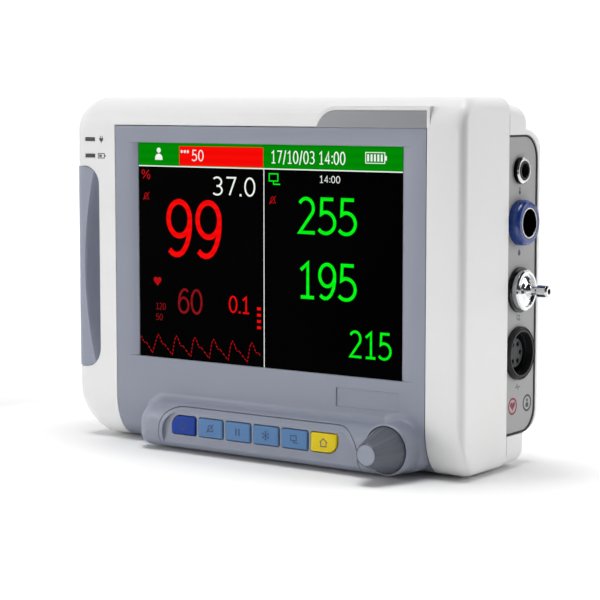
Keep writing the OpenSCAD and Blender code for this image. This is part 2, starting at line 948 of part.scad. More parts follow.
// The side opening that the connector panel drops into, open at the parting line
module panel_opening() {
    ledge_x = panel_back_x - panel_ledge_t - over;
    prism_x(panel_outline(0), panel_back_x, right_x + over);
    prism_x(panel_outline(-panel_ledge), ledge_x, right_x + over);
    block(ledge_x, right_x + over, front_depth - over, front_depth + panel_ledge + over,
        panel_z0 + panel_ledge, panel_z1 - panel_ledge);
}

// Bosses and saddles inside the rear housing
module rear_posts() {
    for (p = case_screw_at)
        rod_y(p[0], p[1], case_tower_r, front_depth, rear_y);
    for (p = mount_at)
        rod_y(p[0], p[1], insert_boss_r, back_y - insert_len - insert_floor, back_y);
    for (p = supply_at)
        rod_y(p[0], p[1], post_r, supply_y + board_t, back_y);
    rod_y(inlet_x, stud_z, stud_pocket_r + wall / 2, back_y - stud_pocket - wall, back_y);
    for (z = saddle_z)
        pump_saddle(z);
    block(valve_x1 - valve_w + valve_seat_in, valve_x1 - valve_seat_in, column_y + valve_half + saddle_gap,
        back_y, nibp_z - saddle_h, nibp_z + saddle_h);
}

module pump_saddle(z) {
    difference() {
        block(pump_x - saddle_w / 2, pump_x + saddle_w / 2, column_y + pump_r / 2, back_y, z, z + saddle_h);
        translate([pump_x, column_y, z - over]) cylinder(r = pump_r + saddle_gap, h = saddle_h + 2 * over);
    }
}

module speaker_ring() {
    difference() {
        rod_y(speaker_x, speaker_z, speaker_r + speaker_ring_t,
            inner_back_y - speaker_t - over, inner_back_y + over);
        rod_y(speaker_x, speaker_z, speaker_r + 2 * slip_gap,
            inner_back_y - speaker_t - 2 * over, inner_back_y);
    }
}

// Slots over the speaker, shorter away from its middle
module speaker_slots() {
    reach = speaker_r - grille_in;
    for (k = [-grille_half : grille_half]) {
        z = speaker_z + k * grille_pitch;
        half = sqrt(pow(reach, 2) - pow(k * grille_pitch, 2));
        block(speaker_x - half, speaker_x + half, inner_back_y - over, back_y + over,
            z - grille_slot / 2, z + grille_slot / 2);
    }
}

module vent_slots() {
    z = hump_mid_z + mount_pitch / 2;
    for (k = [-vent_half : vent_half]) {
        x = mount_x + k * vent_pitch;
        block(x - vent_w / 2, x + vent_w / 2, inner_back_y - over, back_y + over,
            z - vent_h / 2, z + vent_h / 2);
    }
}

// Open tray moulded on the floor of the back for the battery
module battery_tray() {
    half = battery_w / 2 + tray_gap;
    y1 = battery_y1 + tray_gap;
    difference() {
        block(mount_x - half - tray_wall, mount_x + half + tray_wall, tray_y0, y1 + tray_wall,
            rear_floor_z, clamp_z1 + tray_rise);
        block(mount_x - half, mount_x + half, 0, y1, battery_z0 - tray_gap, top_z);
    }
}

module bar_form() {
    loft([for (p = raised_steps(bar_edge_r)) ring(p[0], bar_outline(p[1], bar_x1 + bar_r))]);
}

// The space inside the bar, open to the back
module bar_space() {
    edge = bar_edge_r - bar_wall;
    loft(concat(
        [for (i = [0 : roll_n])
            let (a = 90 * i / roll_n)
            ring(bar_inner_y + edge * (1 - cos(a)), bar_outline(-bar_wall - edge * (1 - sin(a)), bar_x1))],
        [ring(bezel_wrap_y, bar_outline(-bar_wall, bar_x1))]
    ));
}

// The round boss that holds the knob, cut off at the bezel's edge
module knob_boss() {
    intersection() {
        loft([for (p = raised_steps(boss_edge_r)) ring(p[0], boss_outline(p[1]))]);
        block(bar_x0, bezel_x1, -bar_proud - over, bezel_wrap_y, 0, top_z);
    }
}

module front_bezel() {
    color(bezel_grey)
    difference() {
        union() {
            difference() {
                union() {
                    intersection() {
                        front_form(0, front_depth);
                        bezel_opening(0);
                    }
                    bar_form();
                    knob_boss();
                }
                front_form(bezel_t, front_depth);
            }
            for (x = [bezel_x0, bezel_x1])
                block(x - grip_lip, x + grip_lip, wall + slip_gap, bezel_t + clip_t, clip_z0, clip_z1);
            for (p = post_at)
                rod_y(p[0], p[1], post_r, bezel_t / 2, bracket_y);
        }
        window_cut();
        bar_space();
        block(bar_x1 - bar_r, knob_x, key_board_y - key_gap, bezel_wrap_y,
            key_board_z0 - key_gap, key_board_z1 + key_gap);
        rod_y(knob_x, knob_z, encoder_pocket_r, encoder_y - slip_gap, bezel_wrap_y);
        rod_y(knob_x, knob_z, well_r, -bar_proud - over, well_floor_y);
        rod_y(knob_x, knob_z, bushing_r + slip_gap, -bar_proud - over, 0);
        prism_y(fascia_outline(0), -bar_proud - over, fascia_end_y);
        for (p = post_at)
            rod_y(p[0], p[1], screw_r + running_gap, bracket_y - screw_len, bracket_y + over);
        badge_recess();
    }
}

// The screen opening, with sloping sides, square top and bottom edges and a rebate for the cover
module window_cut() {
    translate([0, 0, window_z0]) linear_extrude(window_h) polygon([
        [window_x0 - slope_w, 0], [window_x0 - slope_w, -over], [window_x1 + slope_w, -over],
        [window_x1 + slope_w, 0], [window_x1, window_sink], [window_x1, bezel_t + over],
        [window_x0, bezel_t + over], [window_x0, window_sink]
    ]);
    block(window_x0 - cover_rim - slip_gap, window_x1 + cover_rim + slip_gap, cover_y, bezel_t + over,
        window_z0 - cover_rim - slip_gap, window_z1 + cover_rim + slip_gap);
}

// Shallow bare recess under the screen's right corner
module badge_recess() {
    points = outline(badge_x1 - badge_w, badge_x1, badge_z1 - badge_h, badge_z1, same(badge_depth));
    prism_y(points, -over, badge_depth);
}

module frame_plate(rim, y0, y1) {
    difference() {
        block(window_x0 - rim, window_x1 + rim, y0, y1, window_z0 - rim, window_z1 + rim);
        block(window_x0 + frame_lap, window_x1 - frame_lap, y0 - over, y1 + over,
            window_z0 + frame_lap, window_z1 - frame_lap);
    }
}

module display_window() {
    color("#15181c")
    block(window_x0 - cover_rim, window_x1 + cover_rim, cover_y, gasket_y,
        window_z0 - cover_rim, window_z1 + cover_rim);
}

module window_gasket() {
    color("#202020")
    frame_plate(cover_rim, gasket_y, lcd_y);
}

module lcd_panel() {
    color("#33383d")
    difference() {
        block(window_x0 - lcd_rim, window_x1 + lcd_rim, lcd_y, bracket_y,
            window_z0 - lcd_rim, window_z1 + lcd_rim);
        block(window_x0 + lcd_back_x, window_x1 - lcd_back_x, bracket_y - over, bracket_y + over,
            window_z0 + lcd_back_z, window_z1 - lcd_back_z);
    }
}

module lcd_bracket() {
    color("#b4b8ba")
    difference() {
        union() {
            difference() {
                block(post_x0 - post_r, post_x1 + post_r, bracket_y, bracket_y + bracket_t,
                    window_z0 + bracket_in, window_z1 - bracket_in);
                block(window_x0 + bracket_rim_x, window_x1 - bracket_rim_x,
                    bracket_y - over, bracket_y + bracket_t + over,
                    window_z0 + bracket_rim_z, window_z1 - bracket_rim_z);
            }
            for (p = standoff_at)
                rod_y(p[0], p[1], standoff_r, bracket_y + bracket_t / 2, main_y);
        }
        for (p = post_at)
            rod_y(p[0], p[1], screw_r + slip_gap, bracket_y - over, main_y);
        for (p = standoff_at)
            rod_y(p[0], p[1], screw_r + running_gap, bracket_y - over, main_y + over);
    }
}

// The main board with its processor, memory and two plug headers
module main_board() {
    x0 = window_x0 + main_in;
    x1 = window_x1 - main_in;
    z0 = window_z0 + main_in;
    z1 = window_z1 - main_in;
    top_y = main_y + board_t;
    color(board_green)
    difference() {
        union() {
            block(x0, x1, main_y, top_y, z0, z1);
            seated(window_x, z1 - chip_drop - chip_w, chip_w, chip_w, main_y, top_y + chip_t);
            seated(memory_x, z1 - memory_drop - memory_h, memory_w, memory_h, main_y, top_y + memory_t);
            seated(low_plug_x, z0 + low_plug_rise, low_plug_w, low_plug_h, main_y, top_y + plug_t);
            seated(side_plug_x, z0 + side_plug_rise, side_plug_w, side_plug_h, main_y, top_y + plug_t);
        }
        for (p = standoff_at)
            rod_y(p[0], p[1], screw_r + slip_gap, main_y - over, top_y + over);
    }
}

module board_screws() {
    color(bright_metal) {
        for (p = post_at)
            screw(p[0], p[1], bracket_y + bracket_t);
        for (p = standoff_at)
            screw(p[0], p[1], main_y + board_t);
        for (x = alarm_post_x)
            screw(x, lens_mid_z, alarm_board_y + board_t);
        for (z = lamp_z)
            screw(lamp_post_x, z, lamp_len + board_t);
        for (x = key_post_x)
            screw(x, bar_z, key_board_y + board_t);
        for (p = supply_at)
            translate([0, 2 * supply_y, 0]) mirror([0, 1, 0]) screw(p[0], p[1], supply_y);
    }
}

module alarm_lens() {
    color("#8c919c")
    difference() {
        prism_y(lens_outline(0), 0, lens_t);
        prism_y(lens_outline(-lens_hollow_rim), lens_t - lens_hollow, lens_t + over);
    }
}

// The alarm light's board, with a row of lamps behind the lens
module alarm_board() {
    top_y = alarm_board_y + board_t;
    color(board_green)
    difference() {
        union() {
            block(alarm_post_x[0] - post_r, alarm_post_x[1] + post_r, alarm_board_y, top_y,
                lens_mid_z - post_r, lens_mid_z + post_r);
            for (k = [0 : led_count - 1]) {
                x = led_x0 + k * led_pitch;
                block(x, x + led_w, alarm_board_y - led_t, alarm_board_y + eps,
                    lens_mid_z - led_h / 2, lens_mid_z + led_h / 2);
            }
        }
        for (x = alarm_post_x)
            rod_y(x, lens_mid_z, screw_r + slip_gap, alarm_board_y - over, top_y + over);
    }
}

module indicator_lights() {
    color("#7f8a86")
    for (z = lamp_z)
        block(lamp_x - lamp_w / 2, lamp_x + lamp_w / 2, 0, lamp_len, z - lamp_h / 2, z + lamp_h / 2);
}

module indicator_board() {
    color(board_green)
    difference() {
        block(lamp_x - lamp_w / 2 - lamp_board_rim, lamp_post_x + post_r, lamp_len, lamp_len + board_t,
            lamp_z[1] - post_r, lamp_z[0] + post_r);
        for (z = lamp_z)
            rod_y(lamp_post_x, z, screw_r + slip_gap, lamp_len - over, lamp_len + board_t + over);
    }
}

// Finger hollow: a long barrel whose radius is largest at mid height, cut on the grip's side only
module grip_hollow() {
    intersection() {
        translate([hollow_x, hollow_y, grip_z]) rotate_extrude() intersection() {
            translate([hollow_r - hollow_rise, 0]) circle(r = hollow_rise, $fn = 360);
            translate([0, -grip_h]) square([hollow_r + over, 2 * grip_h]);
        }
        block(left_x - grip_w, grip_x1, -grip_w, front_depth, grip_z - grip_h, grip_z + grip_h);
    }
}

// The grip seen from above: a rounded outer corner
module grip_plan() {
    x0 = left_x - grip_proud;
    lip_x = grip_x1 + grip_lip;
    lip_y = wall + slip_gap;
    points = concat(
        [[lip_x, grip_depth], [lip_x, lip_y], [grip_x1, lip_y], [grip_x1, 0]],
        [for (k = [0 : arc_n])
            let (a = -90 - 90 * k / arc_n)
            [x0 + grip_edge_r + grip_edge_r * cos(a), grip_edge_r + grip_edge_r * sin(a)]],
        [[x0, grip_depth]]
    );
    translate([0, 0, grip_z - grip_h / 2]) linear_extrude(grip_h) polygon(points);
}

module grip() {
    color(bezel_grey)
    difference() {
        intersection() {
            grip_plan();
            union() {
                prism_y(grip_outline(0, grip_proud + over), -over, grip_depth);
                prism_y(grip_outline(grip_lip, -grip_lip_in), wall + slip_gap, grip_depth);
            }
        }
        grip_hollow();
    }
}

// The keys' fascia: the bar's own form between two cuts, with a flat recess and a hole for each key
module key_panel() {
    half = key_h / 2 + key_slot_rim;
    color(bezel_grey)
    difference() {
        union() {
            difference() {
                intersection() {
                    bar_form();
                    prism_y(fascia_outline(-fascia_gap), -bar_proud - over, fascia_end_y - fascia_gap);
                }
                bar_space();
                block(fascia_x0, fascia_x1, bar_inner_y, 0, key_z - half, key_z + half);
            }
            for (x = key_post_x)
                rod_y(x, bar_z, key_post_r, bar_inner_y - bar_wall / 2, key_board_y);
        }
        prism_y(fascia_outline(-fascia_rim), -bar_proud - over, bar_floor_y);
        for (i = [0 : key_count - 1])
            prism_y(key_outline(i, key_gap), -bar_proud - over, bar_inner_y + over);
        for (x = key_post_x)
            rod_y(x, bar_z, screw_r + running_gap,
                key_board_y + board_t - screw_len - eps, key_board_y + over);
    }
}

module key(i) {
    color(key_colours[i]) {
        loft(key_rings(i));
        prism_y(key_outline(i, key_lip), key_lip_y, key_lip_y + key_lip_t);
        rod_y(key_at(i), key_z, plunger_r, key_lip_y + key_lip_t - eps, plunger_y);
    }
}

module plunger(i) {
    color("#26292c")
    rod_y(key_at(i), key_z, plunger_r, plunger_y, plunger_y + plunger_len);
}

module key_switches() {
    half = switch_w / 2;
    well_y = plunger_y + plunger_len + key_travel + slip_gap;
    color("#3a3d40")
    for (i = [0 : key_count - 1])
        difference() {
            block(key_at(i) - half, key_at(i) + half, switch_y, key_board_y, key_z - half, key_z + half);
            rod_y(key_at(i), key_z, plunger_r + slip_gap, switch_y - over, well_y);
        }
}

module key_board() {
    color(board_green)
    difference() {
        block(fascia_x0 + key_gap, key_board_x1, key_board_y, key_board_y + board_t,
            key_board_z0, key_board_z1);
        for (x = key_post_x)
            rod_y(x, bar_z, screw_r + slip_gap, key_board_y - over, key_board_y + board_t + over);
    }
}

module encoder_body() {
    half = encoder_w / 2;
    shaft_floor_y = shaft_end_y + knob_push + slip_gap;
    color("#44484c")
    difference() {
        union() {
            block(knob_x - half, knob_x + half, encoder_y, key_board_y, knob_z - half, knob_z + half);
            rod_y(knob_x, knob_z, bushing_r, bushing_y, encoder_y + eps);
        }
        rod_y(knob_x, knob_z, shaft_r + running_gap, bushing_y - over, shaft_floor_y);
        rod_y(knob_x, knob_z, push_r + slip_gap, bushing_y - over, push_floor_y);
    }
}

module encoder_nut() {
    color(bright_metal)
    difference() {
        translate([knob_x, well_floor_y - nut_t, knob_z]) rotate([-90, 0, 0])
            cylinder(r = nut_r, h = nut_t, $fn = 6);
        rod_y(knob_x, knob_z, bushing_r + running_gap, bushing_y, 0);
    }
}

module encoder_plunger() {
    color("#c8b070")
    rod_y(knob_x, knob_z, push_r, shaft_end_y, push_floor_y - knob_push - slip_gap);
}

// What a flat on the shaft takes away, down to a depth below its crown
module shaft_flat_cut(depth) {
    block(knob_x - 2 * shaft_r, knob_x + 2 * shaft_r, shaft_tip_y - over, knob_hollow_y,
        knob_z + shaft_r - depth, knob_z + 2 * shaft_r);
}

module encoder_shaft() {
    color(bright_metal)
    difference() {
        rod_y(knob_x, knob_z, shaft_r, shaft_tip_y, shaft_end_y);
        shaft_flat_cut(shaft_flat);
    }
}

module knob() {
    color("#858a96")
    difference() {
        union() {
            loft([
                knob_ring(knob_face_y, knob_face_r - knob_edge),
                knob_ring(knob_face_y + knob_edge, knob_face_r),
                knob_ring(knob_base_y - knob_skirt, knob_base_r - knob_step)
            ]);
            rod_y(knob_x, knob_z, knob_base_r, knob_base_y - knob_skirt - eps, knob_base_y);
        }
        rod_y(knob_x, knob_z, knob_hollow_r, knob_hollow_y, knob_base_y + over);
        difference() {
            rod_y(knob_x, knob_z, shaft_r + shaft_fit, shaft_tip_y - knob_edge, knob_base_y);
            shaft_flat_cut(shaft_flat - shaft_fit);
        }
        rod_y(knob_x, knob_z, knob_face_r - knob_rim, knob_face_y - over, knob_face_y + cap_t);
    }
}

module knob_cap() {
    color("#b5bac4")
    rod_y(knob_x, knob_z, knob_face_r - knob_rim - slip_gap, knob_face_y, knob_face_y + cap_t);
}

module connector_panel() {
    color(panel_grey)
    difference() {
        prism_x(panel_outline(-panel_rim), panel_back_x, panel_x);
        block(0, right_x, panel_y0 - over, panel_y0 + slip_gap, 0, top_z);
        rod_x(column_y, temp_z, temp_thread_r + slip_gap, panel_back_x - over, right_x);
        rod_x(column_y, spo2_z, spo2_bore_r + spo2_wall + slip_gap, panel_back_x - over, right_x);
        rod_x(column_y, nibp_z, nibp_shank_r + slip_gap, panel_back_x - over, right_x);
        rod_x(column_y, ecg_z, ecg_bore_r + ecg_wall + slip_gap, panel_back_x - over, right_x);
    }
}

// Dark seal round three sides of the connector panel
module panel_gasket() {
    inner = panel_rim - panel_fit;
    color("#2b2c2e")
    difference() {
        prism_x(panel_outline(-panel_fit), panel_back_x, panel_x + gasket_proud);
        prism_x(panel_outline(-inner), panel_back_x - over, right_x);
        block(0, right_x, panel_y0 - over, panel_y0 + slip_gap, 0, top_z);
        block(0, right_x, panel_y0 - over, panel_y0 + gasket_foot, panel_z0 + inner, panel_z1 - inner);
    }
}

module temp_jack() {
    color(socket_black)
    difference() {
        union() {
            rod_x(column_y, temp_z, temp_thread_r, panel_back_x - eps, panel_x + temp_proud);
            block(socket_end_x, panel_back_x, column_y - temp_half, column_y + temp_half,
                temp_z - temp_half, temp_z + temp_half);
        }
        rod_x(column_y, temp_z, temp_bore_r, socket_end_x + temp_floor, panel_x + temp_proud + over);
    }
}

module temp_nut() {
    color(bright_metal)
    difference() {
        union() {
            rod_x(column_y, temp_z, temp_nut_r, panel_x, panel_x + temp_nut_t);
            cone_x(column_y, temp_z, temp_nut_r, temp_nut_top_r,
                panel_x + temp_nut_t - eps, panel_x + temp_nut_top);
        }
        rod_x(column_y, temp_z, temp_thread_r + running_gap, panel_x - over, panel_x + temp_nut_top + over);
    }
}

module spo2_socket() {
    rim_x = panel_x + spo2_rim_t;
    mouth_x = panel_x + spo2_reach;
    color("#2d5fb4")
    difference() {
        union() {
            rod_x(column_y, spo2_z, spo2_bore_r + spo2_wall, socket_end_x, rim_x);
            rod_x(column_y, spo2_z, spo2_r, panel_x, rim_x);
            dome_x(column_y, spo2_z, spo2_r, spo2_edge, rim_x - eps, mouth_x);
        }
        rod_x(column_y, spo2_z, spo2_bore_r + spo2_liner_t + panel_fit, spo2_floor_x, mouth_x + over);
    }
}

module spo2_liner() {
    color(bright_metal)
    difference() {
        rod_x(column_y, spo2_z, spo2_bore_r + spo2_liner_t, spo2_insert_x, panel_x + spo2_reach - slip_gap);
        rod_x(column_y, spo2_z, spo2_bore_r, spo2_insert_x - over, panel_x + spo2_reach + over);
    }
}

module spo2_insert() {
    color("#22262c")
    difference() {
        rod_x(column_y, spo2_z, spo2_bore_r + spo2_liner_t - panel_fit, spo2_floor_x, spo2_insert_x);
        for (k = [0 : spo2_pins - 1]) {
            a = k * 360 / spo2_pins;
            rod_x(column_y + spo2_pin_circle_r * cos(a), spo2_z + spo2_pin_circle_r * sin(a), spo2_pin_r,
                spo2_floor_x + over, spo2_insert_x + over);
        }
    }
}

module nibp_port() {
    tip_x = nibp_tip_x;
    barb_x = tip_x - nibp_barb_len;
    end_x = tip_x - nibp_tip_cham;
    dish_x = nibp_face_x - nibp_dish;
    flare_x = dish_x + nibp_flare;
    face_r = nibp_flange_r - nibp_face_in;
    color("#cfcfcc")
    difference() {
        union() {
            rod_x(column_y, nibp_z, nibp_shank_r, nibp_tail_x, dish_x);
            difference() {
                union() {
                    rod_x(column_y, nibp_z, nibp_flange_r, panel_x + nibp_seal_t, nibp_flange_x);
                    cone_x(column_y, nibp_z, nibp_flange_r, face_r, nibp_flange_x - eps, nibp_face_x);
                }
                rod_x(column_y, nibp_z, face_r - nibp_rim, dish_x, nibp_face_x + over);
            }
            cone_x(column_y, nibp_z, nibp_flare_r, nibp_root_r, dish_x - eps, flare_x);
            cone_x(column_y, nibp_z, nibp_root_r, nibp_neck_r, flare_x - eps, nibp_root_x);
            rod_x(column_y, nibp_z, nibp_neck_r, nibp_root_x - eps, barb_x);
            cone_x(column_y, nibp_z, nibp_neck_r, nibp_tip_r, barb_x - eps, barb_x + nibp_barb_rise);
            rod_x(column_y, nibp_z, nibp_tip_r, barb_x + nibp_barb_rise - eps, end_x);
            cone_x(column_y, nibp_z, nibp_tip_r, nibp_tip_r - nibp_tip_in, end_x - eps, tip_x);
            rod_x(column_y, nibp_z, tail_r, socket_end_x, nibp_tail_x + eps);
        }
        rod_x(column_y, nibp_z, air_bore_r, socket_end_x - over, tip_x + over);
    }
}

module nibp_seal() {
    color("#3a3a3c")
    difference() {
        rod_x(column_y, nibp_z, nibp_seal_r, panel_x, panel_x + nibp_seal_t);
        rod_x(column_y, nibp_z, nibp_shank_r + running_gap, panel_x - over, panel_x + nibp_seal_t + over);
    }
}

module ecg_socket() {
    mouth_x = panel_x + ecg_flange_t;
    color(socket_black)
    difference() {
        union() {
            rod_x(column_y, ecg_z, ecg_r, panel_x, mouth_x - ecg_cham);
            cone_x(column_y, ecg_z, ecg_r, ecg_r - ecg_cham, mouth_x - ecg_cham - eps, mouth_x);
            rod_x(column_y, ecg_z, ecg_bore_r + ecg_wall, socket_end_x, panel_x + eps);
        }
        rod_x(column_y, ecg_z, ecg_bore_r, mouth_x - ecg_clear, mouth_x + over);
        rod_x(column_y, ecg_z, ecg_bore_r - ecg_step, socket_end_x + ecg_floor, mouth_x);
        difference() {
            rod_x(column_y, ecg_z, ecg_bore_r + ecg_groove_out, mouth_x - ecg_groove, mouth_x + over);
            rod_x(column_y, ecg_z, ecg_bore_r + ecg_groove_in, mouth_x - over, mouth_x + 2 * over);
        }
    }
}

module ecg_insert() {
    foot_x = socket_end_x + ecg_floor;
    face_x = panel_x + ecg_flange_t - ecg_clear - slip_gap;
    color("#4a4c50")
    difference() {
        union() {
            rod_x(column_y, ecg_z, ecg_insert_r, foot_x, face_x);
            rod_x(column_y, ecg_z, ecg_bore_r - ecg_step - panel_fit, foot_x, foot_x + ecg_foot);
        }
        for (k = [0 : ecg_pins - 1]) {
            a = k * 360 / ecg_pins;
            rod_x(column_y + ecg_pin_circle_r * cos(a), ecg_z + ecg_pin_circle_r * sin(a), ecg_pin_r,
                foot_x + ecg_foot + over, face_x + over);
        }
    }
}

// The board that the sensor sockets plug into, with a hole for the air line
module parameter_board() {
    color(board_green)
    difference() {
        block(link_x, socket_end_x, link_y0, link_y1, link_z0, link_z1);
        rod_x(column_y, nibp_z, hose_hole_r, link_x - over, socket_end_x + over);
    }
}

module nibp_pump() {
    x0 = pump_x - pump_r;
    x1 = pump_x + pump_r;
    half = pump_head_h / 2;
    color("#8d9093")
    difference() {
        union() {
            translate([pump_x, column_y, nibp_z + half - eps]) cylinder(r = pump_r, h = pump_len - half);
            block(x0, x1, column_y - pump_r, column_y + pump_r, nibp_z - half, nibp_z + half);
            rod_x(column_y, nibp_z, tail_r, x0 - tail_len, x1 + tail_len);
        }
        rod_x(column_y, nibp_z, tail_bore_r, x0 - tail_len - over, x1 + tail_len + over);
    }
}

module nibp_valve() {
    color("#6b6f72")
    difference() {
        union() {
            block(valve_x1 - valve_w, valve_x1, column_y - valve_half, column_y + valve_half,
                nibp_z - valve_half, nibp_z + valve_half);
            rod_x(column_y, nibp_z, tail_r, valve_x1 - over, valve_x1 + tail_len);
        }
        rod_x(column_y, nibp_z, tail_bore_r, valve_x1 - valve_half, valve_x1 + tail_len + over);
    }
}

module hose(x0, x1) {
    difference() {
        rod_x(column_y, nibp_z, hose_r, x0, x1);
        rod_x(column_y, nibp_z, tail_r + running_gap, x0 - over, x1 + over);
    }
}

// Air lines: pump to port, and pump to release valve
module air_hoses() {
    color("#d8dce0") {
        hose(pump_x + pump_r + hose_end, nibp_tail_x - hose_end);
        hose(valve_x1 + hose_end, pump_x - pump_r - hose_end);
    }
}

// The supply's board with its transformer, heat sink and three capacitors
module power_supply() {
    x0 = supply_x - supply_w / 2;
    z0 = supply_z - supply_h / 2;
    part_y = supply_y + eps;
    color("#2f6f7a")
    difference() {
        union() {
            block(x0, x0 + supply_w, supply_y, supply_y + board_t, z0, z0 + supply_h);
            seated(x0 + coil_x, z0 + coil_rise, coil_w, coil_w, supply_y - coil_len, part_y);
            seated(x0 + sink_x, z0 + sink_rise, sink_t, sink_h, supply_y - sink_len, part_y);
            for (k = [1 : cap_count])
                rod_y(x0 + cap_x, z0 + k * cap_pitch, cap_r, supply_y - cap_len, part_y);
        }
        for (p = supply_at)
            rod_y(p[0], p[1], screw_r + slip_gap, supply_y - over, supply_y + board_t + over);
    }
}

// Two cells side by side in a shrunk sleeve
module battery_pack() {
    cell_r = battery_h / 4;
    x0 = mount_x - battery_w / 2;
    x1 = mount_x + battery_w / 2;
    mid_y = (battery_y0 + battery_y1) / 2;
    color("#2c5aa0")
    intersection() {
        block(x0, x1, battery_y0, battery_y1, battery_z0, battery_z0 + battery_h);
        union() {
            for (z = [cell_r, 3 * cell_r])
                rod_x(mid_y, battery_z0 + z, battery_t / 2, x0, x1);
            block(x0, x1, battery_y0, battery_y1, battery_z0 + cell_r, battery_z0 + 3 * cell_r);
        }
    }
}

// Sheet clamp across the battery, with legs that stand on the front edges of its tray
module battery_clamp() {
    half = battery_w / 2 + tray_gap + tray_wall;
    plate_y = battery_y0 - clamp_gap;
    color("#b4b8ba") {
        block(mount_x - half, mount_x + half, plate_y - clamp_t, plate_y, clamp_z0, clamp_z1);
        for (x = [mount_x - half, mount_x + half - clamp_t])
            block(x, x + clamp_t, plate_y - eps, tray_y0, clamp_z0, clamp_z1);
    }
}

module speaker() {
    cone_y = speaker_y - speaker_rim_t;
    color(dark_rubber)
    difference() {
        union() {
            rod_y(speaker_x, speaker_z, speaker_r, cone_y, speaker_y);
            translate([speaker_x, cone_y + eps, speaker_z]) rotate([90, 0, 0])
                cylinder(r1 = speaker_r - speaker_basket_in, r2 = speaker_r / 2, h = speaker_t / 2);
            rod_y(speaker_x, speaker_z, speaker_r / 2, magnet_y0, magnet_y0 + magnet_len);
        }
        translate([speaker_x, inner_back_y, speaker_z]) rotate([90, 0, 0])
            cylinder(r1 = speaker_r - speaker_cone_rim, r2 = speaker_cone, h = speaker_cone);
    }
}

// Mains inlet with three blades in a deep socket
module mains_inlet() {
    x0 = inlet_x - inlet_w / 2;
    x1 = inlet_x + inlet_w / 2;
    z0 = inlet_z - inlet_h / 2;
    z1 = inlet_z + inlet_h / 2;
    floor_y = inlet_face_y - inlet_mouth;
    color(socket_black) {
        difference() {
            union() {
                block(x0, x1, inner_back_y - over, inlet_face_y, z0, z1);
                block(x0 + inlet_rim, x1 - inlet_rim, inlet_face_y - inlet_len, inlet_face_y,
                    z0 + inlet_rim, z1 - inlet_rim);
            }
            block(inlet_x - inlet_mouth_w / 2, inlet_x + inlet_mouth_w / 2, floor_y, inlet_face_y + over,
                inlet_z - inlet_mouth_h / 2, inlet_z + inlet_mouth_h / 2);
        }
        for (p = blade_at)
            block(inlet_x + p[0] - blade_half_w, inlet_x + p[0] + blade_half_w,
                floor_y - over, inlet_face_y - blade_sink,
                inlet_z + p[1] - blade_half_t, inlet_z + p[1] + blade_half_t);
    }
}

module ground_stud() {
    floor_y = back_y - stud_pocket;
    color("#c8b070") {
        rod_y(inlet_x, stud_z, stud_r, floor_y - wall - stud_tail, back_y - stud_sink);
        translate([inlet_x, floor_y, stud_z]) rotate([-90, 0, 0])
            cylinder(r = stud_nut_r, h = stud_nut_t, $fn = 6);
    }
}

module rubber_feet() {
    color(dark_rubber)
    for (p = feet_at)
        translate([p[0], p[1], 0]) {
            cylinder(r1 = foot_r - foot_cham, r2 = foot_r, h = foot_cham);
            translate([0, 0, foot_cham - eps])
                cylinder(r = foot_r, h = foot_h + foot_sink - foot_cham - slip_gap);
        }
}

module case_screws() {
    color(bright_metal)
    for (p = case_screw_at) {
        rod_y(p[0], p[1], case_head_r, case_head_y, case_head_y + case_head_h);
        rod_y(p[0], p[1], case_screw_r, case_head_y - case_screw_len, case_head_y + eps);
    }
}

module mount_inserts() {
    color("#c8a850")
    for (p = mount_at)
        difference() {
            rod_y(p[0], p[1], insert_r, back_y - insert_len, back_y - insert_sink);
            rod_y(p[0], p[1], mount_hole_r, back_y - insert_len - over, back_y + over);
        }
}

place() front_housing();
place() rear_housing();
place() front_bezel();
place() display_window();
place() window_gasket();
place() lcd_panel();
place() lcd_bracket();
place() main_board();
place() board_screws();
place() alarm_lens();
place() alarm_board();
place() indicator_lights();
place() indicator_board();
place() grip();
place() key_panel();
for (i = [0 : key_count - 1]) {
    place() key(i);
    place() plunger(i);
}
place() key_switches();
place() key_board();
place() encoder_body();
place() encoder_nut();
place() encoder_plunger();
place() encoder_shaft();
place() knob();
place() knob_cap();
place() connector_panel();
place() panel_gasket();
place() temp_jack();
place() temp_nut();
place() spo2_socket();
place() spo2_liner();
place() spo2_insert();
place() nibp_port();
place() nibp_seal();
place() ecg_socket();
place() ecg_insert();
place() parameter_board();
place() nibp_pump();
place() nibp_valve();
place() air_hoses();
place() power_supply();
place() battery_pack();
place() battery_clamp();
place() speaker();
place() mains_inlet();
place() ground_stud();
place() rubber_feet();
place() case_screws();
place() mount_inserts();
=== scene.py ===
"""Looks of a compact bedside patient monitor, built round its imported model.

Lengths are in millimetres in the model's own frame, unless a name ends in _m. The front faces -Y.
"""

import logging
import math
from dataclasses import dataclass, field, replace
from enum import Enum

import bmesh
import bpy
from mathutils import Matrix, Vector


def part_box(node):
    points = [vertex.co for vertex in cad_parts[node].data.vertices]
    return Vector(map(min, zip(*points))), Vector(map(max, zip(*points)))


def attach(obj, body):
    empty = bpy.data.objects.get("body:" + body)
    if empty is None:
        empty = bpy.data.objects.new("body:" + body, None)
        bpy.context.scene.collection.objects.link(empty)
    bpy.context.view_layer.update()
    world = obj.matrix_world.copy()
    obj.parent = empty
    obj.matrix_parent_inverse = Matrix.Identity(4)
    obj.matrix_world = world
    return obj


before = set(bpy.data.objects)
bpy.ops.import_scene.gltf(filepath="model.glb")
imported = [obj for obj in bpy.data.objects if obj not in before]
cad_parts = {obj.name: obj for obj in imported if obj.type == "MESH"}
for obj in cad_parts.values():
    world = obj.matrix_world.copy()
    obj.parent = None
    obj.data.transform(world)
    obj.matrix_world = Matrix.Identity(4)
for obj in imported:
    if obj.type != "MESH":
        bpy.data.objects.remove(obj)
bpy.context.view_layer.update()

MM = 0.001
